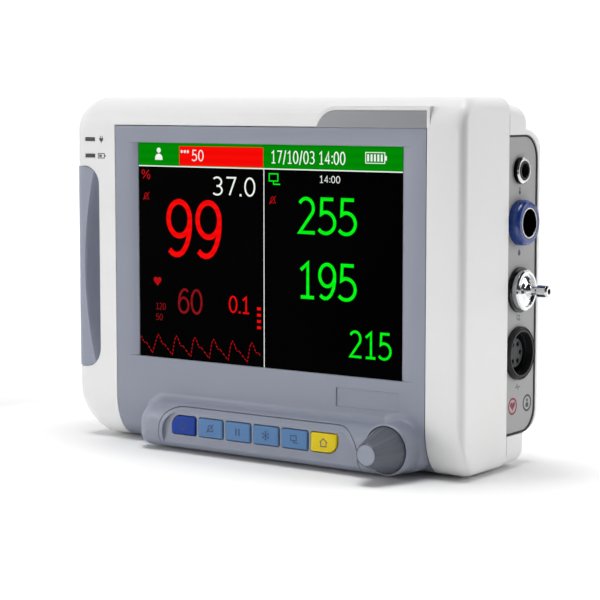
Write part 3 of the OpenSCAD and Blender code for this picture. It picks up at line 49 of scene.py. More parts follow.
# Corners of one stroke that are closer than this are the same corner, and so are corners of joined strokes
STROKE_WELD = 0.0001
SKIN_WELD = 0.002
LOG = logging.getLogger("patient_monitor")
KEYS = ("power", "silence", "pause", "freeze", "nibp", "main")
Point = tuple[float, float]
Spot = tuple[float, float, float]
Loop = list[Point]
Faces = list[list[int]]
Tree = bpy.types.NodeTree
Node = bpy.types.Node
Socket = bpy.types.NodeSocket
Thing = bpy.types.Object
Values = dict[str | int, object]


def linear(code: str) -> tuple[float, float, float, float]:
    """Turns an sRGB colour, written #rrggbb, into opaque linear RGBA."""
    parts = [int(code[i:i + 2], 16) / 255 for i in (1, 3, 5)]
    return (*(c / 12.92 if c <= 0.04045 else ((c + 0.055) / 1.055) ** 2.4 for c in parts), 1.0)


def metres(spot: Spot) -> Spot:
    """Turns a place in millimetres into metres."""
    return tuple(c * MM for c in spot)


def per_metre(size: float) -> float:
    """Gives the texture scale whose features are this many millimetres wide."""
    return 1 / (size * MM)


def wave_scale(size: float) -> float:
    """Gives the scale of a wave texture, the sine of 20 times a place, whose waves are this long."""
    return per_metre(size) * 2 * math.pi / 20


def sides(node: str) -> tuple[Point, Point, Point]:
    """Gives the low and high end of a node along X, Y and Z."""
    return tuple(tuple(c / MM for c in ends) for ends in zip(*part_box(node)))


def wire(node: Node, inputs: Values) -> None:
    """Sets or links a node's inputs.

    Args:
        node: The node.
        inputs: A value, or a socket to link, for each input by name or number.
    """
    for key, value in inputs.items():
        if isinstance(value, Socket):
            node.id_data.links.new(value, node.inputs[key])
        else:
            node.inputs[key].default_value = value


def add_node(tree: Tree, kind: str, inputs: Values | None = None, **settings: object) -> Node:
    """Adds a node with its settings, values and links.

    Args:
        tree: The tree that gets the node.
        kind: The node's type name.
        inputs: A value, or a socket to link, for each input by name or number.
        **settings: The node's own properties.

    Returns:
        The new node.
    """
    node = tree.nodes.new(kind)
    for key, value in settings.items():
        setattr(node, key, value)
    wire(node, inputs or {})
    return node


class Axis(Enum):
    """The axis that a turned or brushed surface follows."""

    X = (1, 0, 0)
    Y = (0, 1, 0)
    Z = (0, 0, 1)


class Face(Enum):
    """The way that a flat mark looks."""

    FRONT = "front"
    RIGHT = "right"
    BACK = "back"


class Ends(Enum):
    """How a row of rings of points ends."""

    CLOSED = "a face at each end"
    FLOOR = "a face at the first ring"
    JOINED = "the last ring meets the first"


@dataclass
class Surface:
    """A material being made.

    Attributes:
        tree: Its node tree.
        shader: Its surface shader.
        where: Object coordinates in metres.
    """

    tree: Tree
    shader: Node
    where: Socket


@dataclass(frozen=True)
class Finish:
    """A plain surface: slow change of colour and gloss, fine grain and softened edges.

    Attributes:
        name: What it is made of and how.
        colour: Its main colour.
        shade: The colour it drifts to.
        slot: The record's material slot; not used.
        roughness: Mean roughness.
        ior: Index of refraction.
        metallic: 1 for bare metal.
        specular: Specular level, lower on a coated or dusty surface.
        cloud: Size of the slow change of colour.
        swing: How much the roughness changes with it, as a share.
        grain: Size of the surface grain.
        relief: Depth of the grain.
        edge: Radius that the light sees on sharp edges.
        coat: Weight of a clear top layer.
        coat_roughness: Roughness of that layer.
    """

    name: str
    colour: str
    shade: str
    slot: str
    roughness: float = 0.45
    ior: float = 1.53
    metallic: float = 0.0
    specular: float = 0.5
    cloud: float = 45.0
    swing: float = 0.1
    grain: float = 0.5
    relief: float = 0.012
    edge: float = 0.35
    coat: float = 0.0
    coat_roughness: float = 0.12

    def material(self) -> bpy.types.Material:
        """Builds the material once and returns it from then on.

        Returns:
            The material.
        """
        if self.name in bpy.data.materials:
            return bpy.data.materials[self.name]
        made = bpy.data.materials.new(self.name)
        made.use_nodes = True
        tree = made.node_tree
        tree.nodes.clear()
        shader = add_node(tree, "ShaderNodeBsdfPrincipled", {
            "Metallic": self.metallic, "Specular IOR Level": self.specular, "Coat Weight": self.coat,
            "Coat Roughness": self.coat_roughness})
        if not self.metallic:
            wire(shader, {"IOR": self.ior})
        add_node(tree, "ShaderNodeOutputMaterial", {"Surface": shader.outputs[0]})
        self.paint(Surface(tree, shader, add_node(tree, "ShaderNodeTexCoord").outputs["Object"]))
        return made

    def paint(self, on: Surface) -> None:
        """Adds colour, gloss and relief.

        Args:
            on: The material being made.
        """
        cloud = add_node(on.tree, "ShaderNodeTexNoise", {
            "Vector": on.where, "Scale": per_metre(self.cloud), "Detail": 3.0, "Roughness": 0.55})
        tint = add_node(on.tree, "ShaderNodeMix", {
            "Factor": cloud.outputs["Fac"], "A": linear(self.colour), "B": linear(self.shade)},
            data_type="RGBA")
        gloss = add_node(on.tree, "ShaderNodeMapRange", {
            "Value": cloud.outputs["Fac"], "To Min": self.roughness * (1 - self.swing),
            "To Max": self.roughness * (1 + self.swing)})
        soft = add_node(on.tree, "ShaderNodeBevel", {"Radius": self.edge * MM}, samples=4)
        bump = add_node(on.tree, "ShaderNodeBump", {
            "Height": self.grains(on), "Distance": self.relief * MM, "Strength": 0.6,
            "Normal": soft.outputs["Normal"]})
        wire(on.shader, {
            "Base Color": tint.outputs["Result"], "Roughness": gloss.outputs["Result"],
            "Normal": bump.outputs["Normal"]})

    def grains(self, on: Surface) -> Socket:
        """Adds an even grain.

        Args:
            on: The material being made.

        Returns:
            The height of the grain, between 0 and 1.
        """
        noise = add_node(on.tree, "ShaderNodeTexNoise", {
            "Vector": on.where, "Scale": per_metre(self.grain), "Detail": 2.0, "Roughness": 0.6})
        return noise.outputs["Fac"]


@dataclass(frozen=True)
class Silicone(Finish):
    """Soft rubber: slightly see-through, with a satin skin.

    Attributes:
        depth: How far light spreads inside.
        share: How much of the light goes in.
    """

    roughness: float = 0.5
    ior: float = 1.41
    specular: float = 0.2
    edge: float = 0.5
    depth: float = 1.2
    share: float = 0.18

    def paint(self, on: Surface) -> None:
        """Adds the light that spreads inside, which goes furthest in red, and a faint bloom.

        Args:
            on: The material being made.
        """
        super().paint(on)
        wire(on.shader, {
            "Subsurface Weight": self.share, "Subsurface Radius": (1.0, 0.9, 0.8),
            "Subsurface Scale": self.depth * MM, "Sheen Weight": 0.02})


@dataclass(frozen=True)
class TurnedMetal(Finish):
    """Lathe-turned and plated metal: fine rings round its own axis break up the reflections.

    Attributes:
        axis: The lathe axis.
        centre: A point on it.
    """

    metallic: float = 1.0
    axis: Axis = Axis.X
    centre: Spot = (0.0, 0.0, 0.0)

    def grains(self, on: Surface) -> Socket:
        """Adds rings round the axis, a grain's width apart.

        Args:
            on: The material being made.

        Returns:
            The height of the rings, between 0 and 1.
        """
        moved = add_node(on.tree, "ShaderNodeVectorMath", {
            0: on.where, 1: metres(self.centre)}, operation="SUBTRACT")
        rings = add_node(on.tree, "ShaderNodeTexWave", {
            "Vector": moved.outputs[0], "Scale": wave_scale(self.grain), "Distortion": 0.4, "Detail": 2.0},
            wave_type="RINGS", rings_direction=self.axis.name)
        return rings.outputs["Fac"]


@dataclass(frozen=True)
class BrushedSheet(Finish):
    """Rolled sheet metal: long scratches along one axis.

    Attributes:
        axis: The rolling direction.
        squeeze: How much shorter a distance along that axis counts.
    """

    metallic: float = 1.0
    axis: Axis = Axis.X
    squeeze: float = 0.025

    def grains(self, on: Surface) -> Socket:
        """Adds a grain that is drawn out along the axis.

        Args:
            on: The material being made.

        Returns:
            The height of the scratches, between 0 and 1.
        """
        stretch = tuple(self.squeeze if k else 1.0 for k in self.axis.value)
        drawn = add_node(on.tree, "ShaderNodeVectorMath", {0: on.where, 1: stretch}, operation="MULTIPLY")
        return super().grains(replace(on, where=drawn.outputs[0]))


@dataclass(frozen=True)
class Laminate(Finish):
    """Glass-cloth laminate with solder mask: tracks show as lines under a green film.

    Attributes:
        track: Spacing of the tracks.
        copper: Colour of the mask over a track.
    """

    track: float = 1.6
    copper: str = "#2f8a5c"

    def paint(self, on: Surface) -> None:
        """Adds the tracks as rows of blocks with bright joints.

        Args:
            on: The material being made.
        """
        super().paint(on)
        tracks = add_node(on.tree, "ShaderNodeTexBrick", {
            "Vector": on.where, "Color1": linear(self.colour), "Color2": linear(self.shade),
            "Mortar": linear(self.copper), "Scale": per_metre(self.track) / 4, "Mortar Size": 0.03})
        wire(on.shader, {"Base Color": tracks.outputs["Color"]})


@dataclass(frozen=True)
class Pixels(Finish):
    """Lit picture elements of a liquid crystal display: even light with a faint row pattern.

    Attributes:
        light: Strength of the light.
        row: Height of a row. A real one is 0.2 mm, too fine to show, so it is drawn 19 times as coarse.
    """

    slot: str = "screen"
    roughness: float = 0.3
    specular: float = 0.0
    light: float = 1.0
    row: float = 3.77

    def paint(self, on: Surface) -> None:
        """Adds the light with its rows, over a nearly black base.

        Args:
            on: The material being made.
        """
        super().paint(on)
        rows = add_node(on.tree, "ShaderNodeTexWave", {
            "Vector": on.where, "Scale": wave_scale(self.row)}, wave_type="BANDS", bands_direction="Z")
        glow, dark = (add_node(on.tree, "ShaderNodeMix", {
            "Factor": rows.outputs["Fac"], "A": linear(a), "B": linear(b)}, data_type="RGBA")
            for a, b in ((self.colour, self.shade), ("#020202", "#010101")))
        wire(on.shader, {
            "Emission Color": glow.outputs["Result"], "Base Color": dark.outputs["Result"],
            "Emission Strength": self.light})


@dataclass(frozen=True)
class LinedBore(Finish):
    """Plated metal that is bright at the mouth of a bore and dull dark further in; in the liner of a bore
    this dark is painted shade.

    Attributes:
        mouth: The X place of the mouth.
        bright: Length that stays bright.
        fade: Length over which it turns dark.
    """

    metallic: float = 1.0
    mouth: float = 0.0
    bright: float = 0.6
    fade: float = 0.2

    def paint(self, on: Surface) -> None:
        """Changes from bright to dark a little way in.

        Args:
            on: The material being made.
        """
        super().paint(on)
        along = add_node(on.tree, "ShaderNodeSeparateXYZ", {0: on.where})
        start = self.mouth - self.bright
        share = add_node(on.tree, "ShaderNodeMapRange", {
            "Value": along.outputs["X"], "From Min": (start - self.fade) * MM, "From Max": start * MM})
        # For the liner, this change to dark further in is painted shade inside the bore.
        tint = add_node(on.tree, "ShaderNodeMix", {
            "Factor": share.outputs["Result"], "A": linear(self.shade), "B": linear(self.colour)},
            data_type="RGBA")
        wire(on.shader, {"Base Color": tint.outputs["Result"]})


@dataclass(frozen=True)
class LitPaper(Finish):
    """Matt paper that is lit by itself all round the object, so that the ground in view stays white.

    Attributes:
        glow: Strength of that light close by.
        rest: Strength further out.
        near: Distance in front of the object where it starts.
        full: Distance in front where it is full.
        stretch: How much shorter a distance to the left or right counts.
        close_m: Distance up to which the paper counts as close by.
        far_m: Distance from which it counts as further out.
    """

    glow: float = 0.5
    rest: float = 0.46
    near: float = 46.0
    full: float = 150.0
    stretch: float = 0.36
    close_m: float = 0.3
    far_m: float = 0.6

    def paint(self, on: Surface) -> None:
        """Adds light that grows with the distance from the object.

        Args:
            on: The material being made.
        """
        super().paint(on)
        squeezed = add_node(on.tree, "ShaderNodeVectorMath", {
            0: on.where, 1: (self.stretch, 1, 1)}, operation="MULTIPLY")
        reach, span = (add_node(on.tree, "ShaderNodeVectorMath", {0: spot}, operation="LENGTH")
                       for spot in (squeezed.outputs[0], on.where))
        limit = add_node(on.tree, "ShaderNodeMapRange", {
            "Value": span.outputs["Value"], "From Min": self.close_m, "From Max": self.far_m,
            "To Min": self.glow, "To Max": self.rest})
        share = add_node(on.tree, "ShaderNodeMapRange", {
            "Value": reach.outputs["Value"], "From Min": self.near * MM, "From Max": self.full * MM,
            "To Max": limit.outputs["Result"]})
        wire(on.shader, {"Emission Strength": share.outputs["Result"], "Emission Color": (1, 1, 1, 1)})


# Acrylonitrile-butadiene-styrene from an eroded mould: a satin skin with a fine grain. A real grain is
# 0.15 mm wide, too fine to show, so it is drawn about three times as coarse.
SHELL = Finish("abs_moulded_white", "#ececec", "#e8e8e7", "shell_white", roughness=0.42, edge=0.5)
BEZEL = Finish("abs_moulded_blue_grey", "#8d92a1", "#878c9c", "bezel_grey", roughness=0.46)
KNOB = Finish("abs_moulded_slate", "#565a66", "#505460", "knob_grey", roughness=0.38, edge=0.2)
KNOB_DISC = Finish("abs_moulded_light_grey", "#8f95a4", "#898f9f", "knob_grey", roughness=0.4, edge=0.2)
# Screen-printed polycarbonate overlay: even grey with the velvet of a hard coat.
PANEL = Finish("polycarbonate_overlay_grey", "#a5a5a5", "#9f9f9f", "panel_grey", roughness=0.5, grain=0.3)
# Smoked polycarbonate, moulded and polished: a glossy neutral grey lens and nearly black light pipes.
LENS = Finish("polycarbonate_smoked_grey", "#898a8f", "#828388", "lens", roughness=0.28, ior=1.585,
              coat=0.3)
PIPE = Finish("polycarbonate_smoked_dark", "#2c2d2f", "#252628", "light_pipe", roughness=0.35, ior=1.585,
              specular=0.2)
# Cover glass with an anti-reflection layer: nearly no mirror image, so that black stays black.
GLASS = Finish("cover_glass_coated", "#010101", "#020202", "screen", roughness=0.12, specular=0.004,
               relief=0.001)
# Cast silicone rubber keys: satin, slightly see-through, with soft edges.
KEY_BLUE = Silicone("silicone_cast_blue", "#1c3f9b", "#193a90", "key_blue")
KEY_LIGHT = Silicone("silicone_cast_pale_blue", "#5d84b1", "#577daa", "key_light_blue")
KEY_YELLOW = Silicone("silicone_cast_yellow", "#e4cc1e", "#dcc218", "key_yellow")
# Thermoplastic elastomer moulded over the grip: light spreads inside and softens the shade of its hollow.
GRIP = Silicone("elastomer_overmoulded_grey", "#9a9fae", "#9499a9", "bezel_grey", roughness=0.46, ior=1.5,
                specular=0.3, edge=0.35, depth=7.0, share=0.9)
# Glass-filled polyamide, moulded: black or dark grey with a dull sheen.
POLYAMIDE = Finish("polyamide_moulded_black", "#1a1b1d", "#222325", "black_plastic", specular=0.25)
POLYAMIDE_GREY = Finish("polyamide_moulded_dark_grey", "#2d2f32", "#27292c", "black_plastic", roughness=0.5)
# Polycarbonate, moulded in blue: glossy with slight flow clouds.
COLLAR = Finish("polycarbonate_moulded_blue", "#143a86", "#11337a", "blue_plastic", roughness=0.22,
                ior=1.585)
# Nitrile rubber: dark, dull and faintly dusty.
RUBBER = Finish("nitrile_rubber_moulded", "#29292b", "#333335", "rubber", roughness=0.75, ior=1.52,
                relief=0.03)
# Silicone rubber from a polished mould: black with a wet gloss.
SEAL = Finish("silicone_moulded_polished", "#0b0b0c", "#101011", "rubber", roughness=0.16, ior=1.41)
# Silicone tube, extruded: milky and smooth.
HOSE = Finish("silicone_tube_extruded", "#d5dade", "#cbd1d6", "hose", roughness=0.35, ior=1.41)
# Chromium on turned brass: a near mirror, broken by very faint tool rings. A real tool pass is about 0.15 mm
# wide, too fine to show, so the rings are drawn 2.2 mm apart.
CHROME = TurnedMetal("chromium_on_turned_brass", "#d9dadb", "#d0d1d3", "chrome", roughness=0.08, grain=2.2,
                     relief=0.0015, edge=0.15, centre=(100.0, 29.7, 78.7))
# Nickel, bright at the mouth, with painted shade: dull and dark further inside the bore.
LINER = LinedBore("nickel_liner_shade_painted_inside", "#cccbc6", "#1b1b1c", "chrome", roughness=0.25, mouth=105.3)
# Black nickel, turned bright again on its face: a dark flank round a bright ring.
NUT = LinedBore("black_nickel_faced", "#d4d4d0", "#161617", "chrome", roughness=0.2, mouth=102.6,
                bright=0.5)
# Zinc on cold-formed steel: grey, a little cloudy.
STEEL = Finish("steel_zinc_plated", "#b9bbbc", "#a5a8aa", "steel", roughness=0.32, metallic=1.0, cloud=4.0)
# Brass from the lathe: warm yellow with tool rings, drawn as coarse as on the chromium.
BRASS = TurnedMetal("brass_turned", "#c9a85a", "#b8964a", "brass", roughness=0.25, grain=2.51, relief=0.004,
                    axis=Axis.Y, centre=(-62.0, 40.0, 77.7))
# Aluminium sheet from the rolls: pale, with scratches that draw out the highlights.
SHEET = BrushedSheet("aluminium_rolled_sheet", "#b9bdbf", "#adb1b4", "aluminium", roughness=0.35, grain=0.3,
                     relief=0.006)
# Woven glass laminate under green solder mask: tracks show through.
BOARD = Laminate("laminate_solder_mask_green", "#1b6140", "#185839", "board", roughness=0.3, coat=0.4)
# Baked enamel on the pump and valve cans: smooth grey with a soft gloss.
ENAMEL = Finish("enamel_baked_grey", "#8b8f92", "#83878a", "pump_grey", roughness=0.4)
# Heat-shrunk film round the cells: glossy, thin, with slow waves.
SLEEVE = Finish("film_shrunk_blue", "#2b589c", "#264f8e", "battery_sleeve", roughness=0.2, grain=4.0,
                relief=0.1)
# Ink of screen printing: flat and dull. The dark ink also makes painted shade: dark crosses on the case
# screws for their cross recesses.
INK_DARK_AND_RECESS_SHADE, INK_NAVY, INK_RED = (
    Finish("ink_printed_" + name, colour, shade, "black_plastic", roughness=0.6, relief=0.004)
    for name, colour, shade in (
        ("dark", "#3a3d44", "#43464d"), ("navy", "#233a63", "#29416c"), ("red", "#94203a", "#8c1c35")))
# Background paper: dull white.
PAPER = LitPaper("paper_matt_white", "#f4f4f4", "#f1f1f1", "shell_white", roughness=0.9, specular=0.1,
                 cloud=400.0, grain=2.0, relief=0.01)
# Lit picture elements: flat bright colours.
LIT_GREEN_BAR = Pixels("pixels_bar_green", "#008a04", "#008204")
LIT_RED_BAR = Pixels("pixels_bar_red", "#fa0a06", "#f00804")
LIT_GREEN = Pixels("pixels_green", "#04fa18", "#02ee12")
LIT_RED = Pixels("pixels_red", "#fc0a0a", "#ee0606")
LIT_MID = Pixels("pixels_mid_red", "#bc1016", "#b00c12")
LIT_DIM = Pixels("pixels_dim_red", "#8c1418", "#801014")
LIT_WHITE = Pixels("pixels_white", "#f4f8f4", "#e8eee8")


def polar(cx: float, cz: float, radius: float, turn: float) -> Point:
    """Gives the point at a distance from a centre, at an angle in degrees from the right."""
    return cx + radius * math.cos(math.radians(turn)), cz + radius * math.sin(math.radians(turn))


def arc(cx: float, cz: float, radius: float, start: float, end: float, steps: int = 16) -> Loop:
    """Gives points on an arc between two angles in degrees, from the right and turning left."""
    return [polar(cx, cz, radius, start + (end - start) * k / steps) for k in range(steps + 1)]


def bow(cx: float, cz: float, rx: float, rz: float, start: float, end: float) -> Loop:
    """Gives points on part of an oval of these half sizes, about 14 degrees apart."""
    steps = max(6, round(abs(end - start) / 14))
    return [(cx + rx * x, cz + rz * z) for x, z in arc(0, 0, 1, start, end, steps)]


def circle(cx: float, cz: float, radius: float, steps: int = 24) -> Loop:
    """Gives a closed circle without a double end point."""
    return arc(cx, cz, radius, 0, 360, steps)[:-1]


def star(cx: float, cz: float, radius: float) -> list[Loop]:
    """Gives three lines that cross at a centre."""
    return [[polar(cx, cz, radius, turn + 180), polar(cx, cz, radius, turn)] for turn in (30, 90, 150)]


def box_loop(x0: float, x1: float, z0: float, z1: float) -> Loop:
    """Gives the corners of a rectangle."""
    return [(x0, z0), (x1, z0), (x1, z1), (x0, z1)]


def heart(cx: float, cz: float, size: float, steps: int = 28) -> Loop:
    """Gives a plain heart outline, from the usual sum of cosines, which is 29 units high.

    Args:
        cx: Centre across.
        cz: Centre up.
        size: Height.
        steps: Number of points.

    Returns:
        The closed outline.
    """
    unit = size / 29
    points = []
    for k in range(steps):
        a = 2 * math.pi * k / steps
        x = 16 * math.sin(a) ** 3
        z = 13 * math.cos(a) - 5 * math.cos(2 * a) - 2 * math.cos(3 * a) - math.cos(4 * a)
        points.append((cx + x * unit, cz + (z + 2.5) * unit))
    return points


def ring_faces(start: int, turns: int, rings: int, ends: Ends = Ends.CLOSED) -> Faces:
    """Gives the faces of a skin over rings of points.

    Args:
        start: Number of the first point.
        turns: Points on a ring.
        rings: Number of rings.
        ends: How the row of rings ends.

    Returns:
        The faces, as lists of point numbers.
    """
    firsts = [start + turns * k for k in range(rings)]
    steps = list(zip(firsts, firsts[1:]))
    if ends == Ends.JOINED:
        steps.append((firsts[-1], start))
    corners = [(i, (i + 1) % turns) for i in range(turns)]
    faces = [[a + i, b + i, b + j, a + j] for a, b in steps for i, j in corners]
    if ends != Ends.JOINED:
        faces.append([start + i for i in range(turns)])
    if ends == Ends.CLOSED:
        faces.append([firsts[-1] + i for i in reversed(range(turns))])
    return faces


def new_object(name: str, points: list[Spot], faces: Faces, finish: Finish) -> Thing:
    """Makes an object.

    Args:
        name: Its name.
        points: Its points, in metres.
        faces: Its faces, as lists of point numbers.
        finish: Its finish.

    Returns:
        The new object.
    """
    mesh = bpy.data.meshes.new(name)
    mesh.from_pydata(points, [], faces)
    mesh.materials.append(finish.material())
    made = bpy.data.objects.new(name, mesh)
    bpy.context.scene.collection.objects.link(made)
    return made


def carry(made: Thing, finish: Finish, body: str = "monitor") -> None:
    """Turns a new object's faces outwards and lets it ride on a body.

    Args:
        made: The object.
        finish: Its finish; not used.
        body: The body.
    """
    work = bmesh.new()
    work.from_mesh(made.data)
    bmesh.ops.remove_doubles(work, verts=work.verts, dist=STROKE_WELD * MM)
    bmesh.ops.recalc_face_normals(work, faces=work.faces)
    work.to_mesh(made.data)
    work.free()
    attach(made, body)
    LOG.info("made %s on %s", made.name, body)


def shape_tree(name: str) -> tuple[Tree, Socket]:
    """Starts a modifier tree.

    Args:
        name: The tree's name.

    Returns:
        The tree and the shape that comes in.
    """
    tree = bpy.data.node_groups.new(name, "GeometryNodeTree")
    for way in ("INPUT", "OUTPUT"):
        tree.interface.new_socket("Geometry", in_out=way, socket_type="NodeSocketGeometry")
    return tree, add_node(tree, "NodeGroupInput").outputs[0]


def one_skin() -> Tree:
    """Builds, once, the modifier tree that joins crossing strokes into one skin.

    Returns:
        The tree.
    """
    if "one_skin" in bpy.data.node_groups:
        return bpy.data.node_groups["one_skin"]
    tree, shape = shape_tree("one_skin")
    joined = add_node(tree, "GeometryNodeMeshBoolean", {"Mesh 2": shape, "Self Intersection": True},
                      operation="UNION", solver="EXACT")
    neat = add_node(tree, "GeometryNodeMergeByDistance", {
        "Geometry": joined.outputs[0], "Distance": SKIN_WELD * MM})
    add_node(tree, "NodeGroupOutput", {0: neat.outputs[0]})
    return tree


@dataclass
class Relief:
    """A thin raised mark on one flat face: closed plates and bands of even height.

    Attributes:
        face: The way it looks.
        base: Where the carrying face is, along the face's own axis.
        middle: The place across and up that its shapes are measured from.
        height: How far it stands up.
        lift: How far its underside is above the carrying face.
        points: Its points so far, in metres.
        faces: Its faces so far, as lists of point numbers.
    """

    face: Face
    base: float
    middle: Point = (0.0, 0.0)
    height: float = 0.03
    lift: float = 0.0
    points: list[Spot] = field(default_factory=list)
    faces: Faces = field(default_factory=list)

    def at(self, across: float, up: float, out: float) -> Spot:
        """Places a point.

        Args:
            across: Its distance to the right of the middle, as seen from where the mark looks.
            up: Its distance above the middle.
            out: Its distance from the underside.

        Returns:
            The place in the model's frame, in metres.
        """
        u, v, n = across + self.middle[0], up + self.middle[1], out + self.lift
        return metres({
            Face.FRONT: (u, self.base - n, v),
            Face.RIGHT: (self.base + n, u, v),
            Face.BACK: (-u, self.base + n, v),
        }[self.face])

    def plate(self, loop: Loop) -> "Relief":
        """Adds a filled shape.

        Args:
            loop: Its closed outline.

        Returns:
            This relief.
        """
        self.faces += ring_faces(len(self.points), len(loop), 2)
        self.points += [self.at(x, z, out) for out in (0.0, self.height) for x, z in loop]
        return self

    def band(self, path: Loop, width: float, closed: bool = False) -> "Relief":
        """Adds a line of even width.

        Args:
            path: The points of its middle.
            width: Its width.
            closed: True if the last point joins the first.

        Returns:
            This relief.
        """
        n = len(path)
        self.faces += ring_faces(len(self.points), 4, n, Ends.JOINED if closed else Ends.CLOSED)
        for i, (x, z) in enumerate(path):
            before = path[i - 1] if i or closed else path[i]
            after = path[(i + 1) % n] if i < n - 1 or closed else path[i]
            steps = [Vector((x, z)) - Vector(before), Vector(after) - Vector((x, z))]
            steps = [s.normalized() for s in steps if s.length > 0]
            mean = sum(steps, Vector((0, 0))).normalized()
            # A corner reaches further out, up to twice the half width
            off = Vector((-mean.y, mean.x)) * (width / 2 / max(mean.dot(steps[0]), 0.5))
            for side, out in ((1, 0.0), (-1, 0.0), (-1, self.height), (1, self.height)):
                self.points.append(self.at(x + side * off.x, z + side * off.y, out))
        return self

    def ring(self, cx: float, cz: float, radius: float, width: float) -> "Relief":
        """Adds a round line."""
        return self.band(circle(cx, cz, radius), width, closed=True)

    def piece(self, name: str, finish: Finish, body: str = "monitor") -> None:
        """Makes a piece of it, with its strokes joined.

        Args:
            name: The piece's name.
            finish: Its finish.
            body: The body that it rides on.
        """
        made = new_object(name, self.points, self.faces, finish)
        carry(made, finish, body)
        made.modifiers.new("one_skin", "NODES").node_group = one_skin()


@dataclass(frozen=True)
class Figures:
    """A plain stroke alphabet of figures, each one unit wide and one unit high.

    Attributes:
        gap: Space between two figures.
        weight: Width of a stroke, as a share of the height.
        dot: Side of a dot, as a share of a stroke's width.
    """

    gap: float = 0.3
    weight: float = 0.092
    dot: float = 1.3

    def strokes(self, sign: str) -> list[Loop]:
        """Looks up a sign.

        Args:
            sign: The sign.

        Returns:
            The middle lines of its strokes.
        """
        return {
            "0": [bow(0.5, 0.5, 0.5, 0.5, 90, 450)],
            "1": [[(0.1, 0.8), (0.55, 1.0), (0.55, 0.0)], [(0.1, 0.0), (0.95, 0.0)]],
            "2": [[*bow(0.44, 0.72, 0.47, 0.28, 150, -32), (0.02, 0.0), (1.0, 0.0)]],
            "3": [bow(0.42, 0.75, 0.47, 0.25, 140, -96), bow(0.42, 0.26, 0.53, 0.26, 86, -140)],
            "4": [[(0.74, 0.0), (0.74, 1.0), (0.02, 0.28), (1.0, 0.28)]],
            "5": [[(0.88, 1.0), (0.16, 1.0), (0.12, 0.56), *bow(0.4, 0.31, 0.58, 0.31, 100, -140)]],
            "6": [[*bow(0.62, 0.4, 0.6, 0.6, 58, 172), *bow(0.5, 0.32, 0.48, 0.32, 180, 540)]],
            "7": [[(0.02, 1.0), (0.98, 1.0), (0.34, 0.0)]],
            "9": [[*bow(0.38, 0.6, 0.6, 0.6, -122, -8), *bow(0.5, 0.68, 0.48, 0.32, 0, 360)]],
            "/": [[(0.0, -0.12), (0.55, 1.06)]],
            "%": [*(bow(x, z, 0.25, 0.24, 90, 450) for x, z in ((0.25, 0.76), (1.25, 0.24))),
                  [(0.2, 0.0), (1.3, 1.0)]],
        }.get(sign, [])

    def width(self, sign: str) -> float:
        """Gives the room that a sign takes across."""
        return {".": 0.16, ":": 0.16, "/": 0.55, " ": 0.25, "%": 1.5}.get(sign, 1.0)

    def write(self, signs: str, across: Point, up: Point, relief: Relief) -> Relief:
        """Draws signs that fill a box.

        Args:
            signs: The signs.
            across: Left and right edge.
            up: Bottom and top edge.
            relief: The layer that gets them.

        Returns:
            The layer.
        """
        height = up[1] - up[0]
        line = height * self.weight
        room = sum(map(self.width, signs)) + self.gap * (len(signs) - 1)
        unit = (across[1] - across[0] - line) / room
        x, z, tall = across[0] + line / 2, up[0] + line / 2, height - line
        for sign in signs:
            for stroke in self.strokes(sign):
                path = [(x + u * unit, z + v * tall) for u, v in stroke]
                closed = math.dist(path[0], path[-1]) < line / 10
                relief.band(path[:-1] if closed else path, line, closed)
            for place in {".": (0.0,), ":": (0.1, 0.62)}.get(sign, ()):
                side = line * self.dot
                low = z + place * tall - line / 2
                relief.plate(box_loop(x, x + side, low, low + side))
            x += (self.width(sign) + self.gap) * unit
        return relief


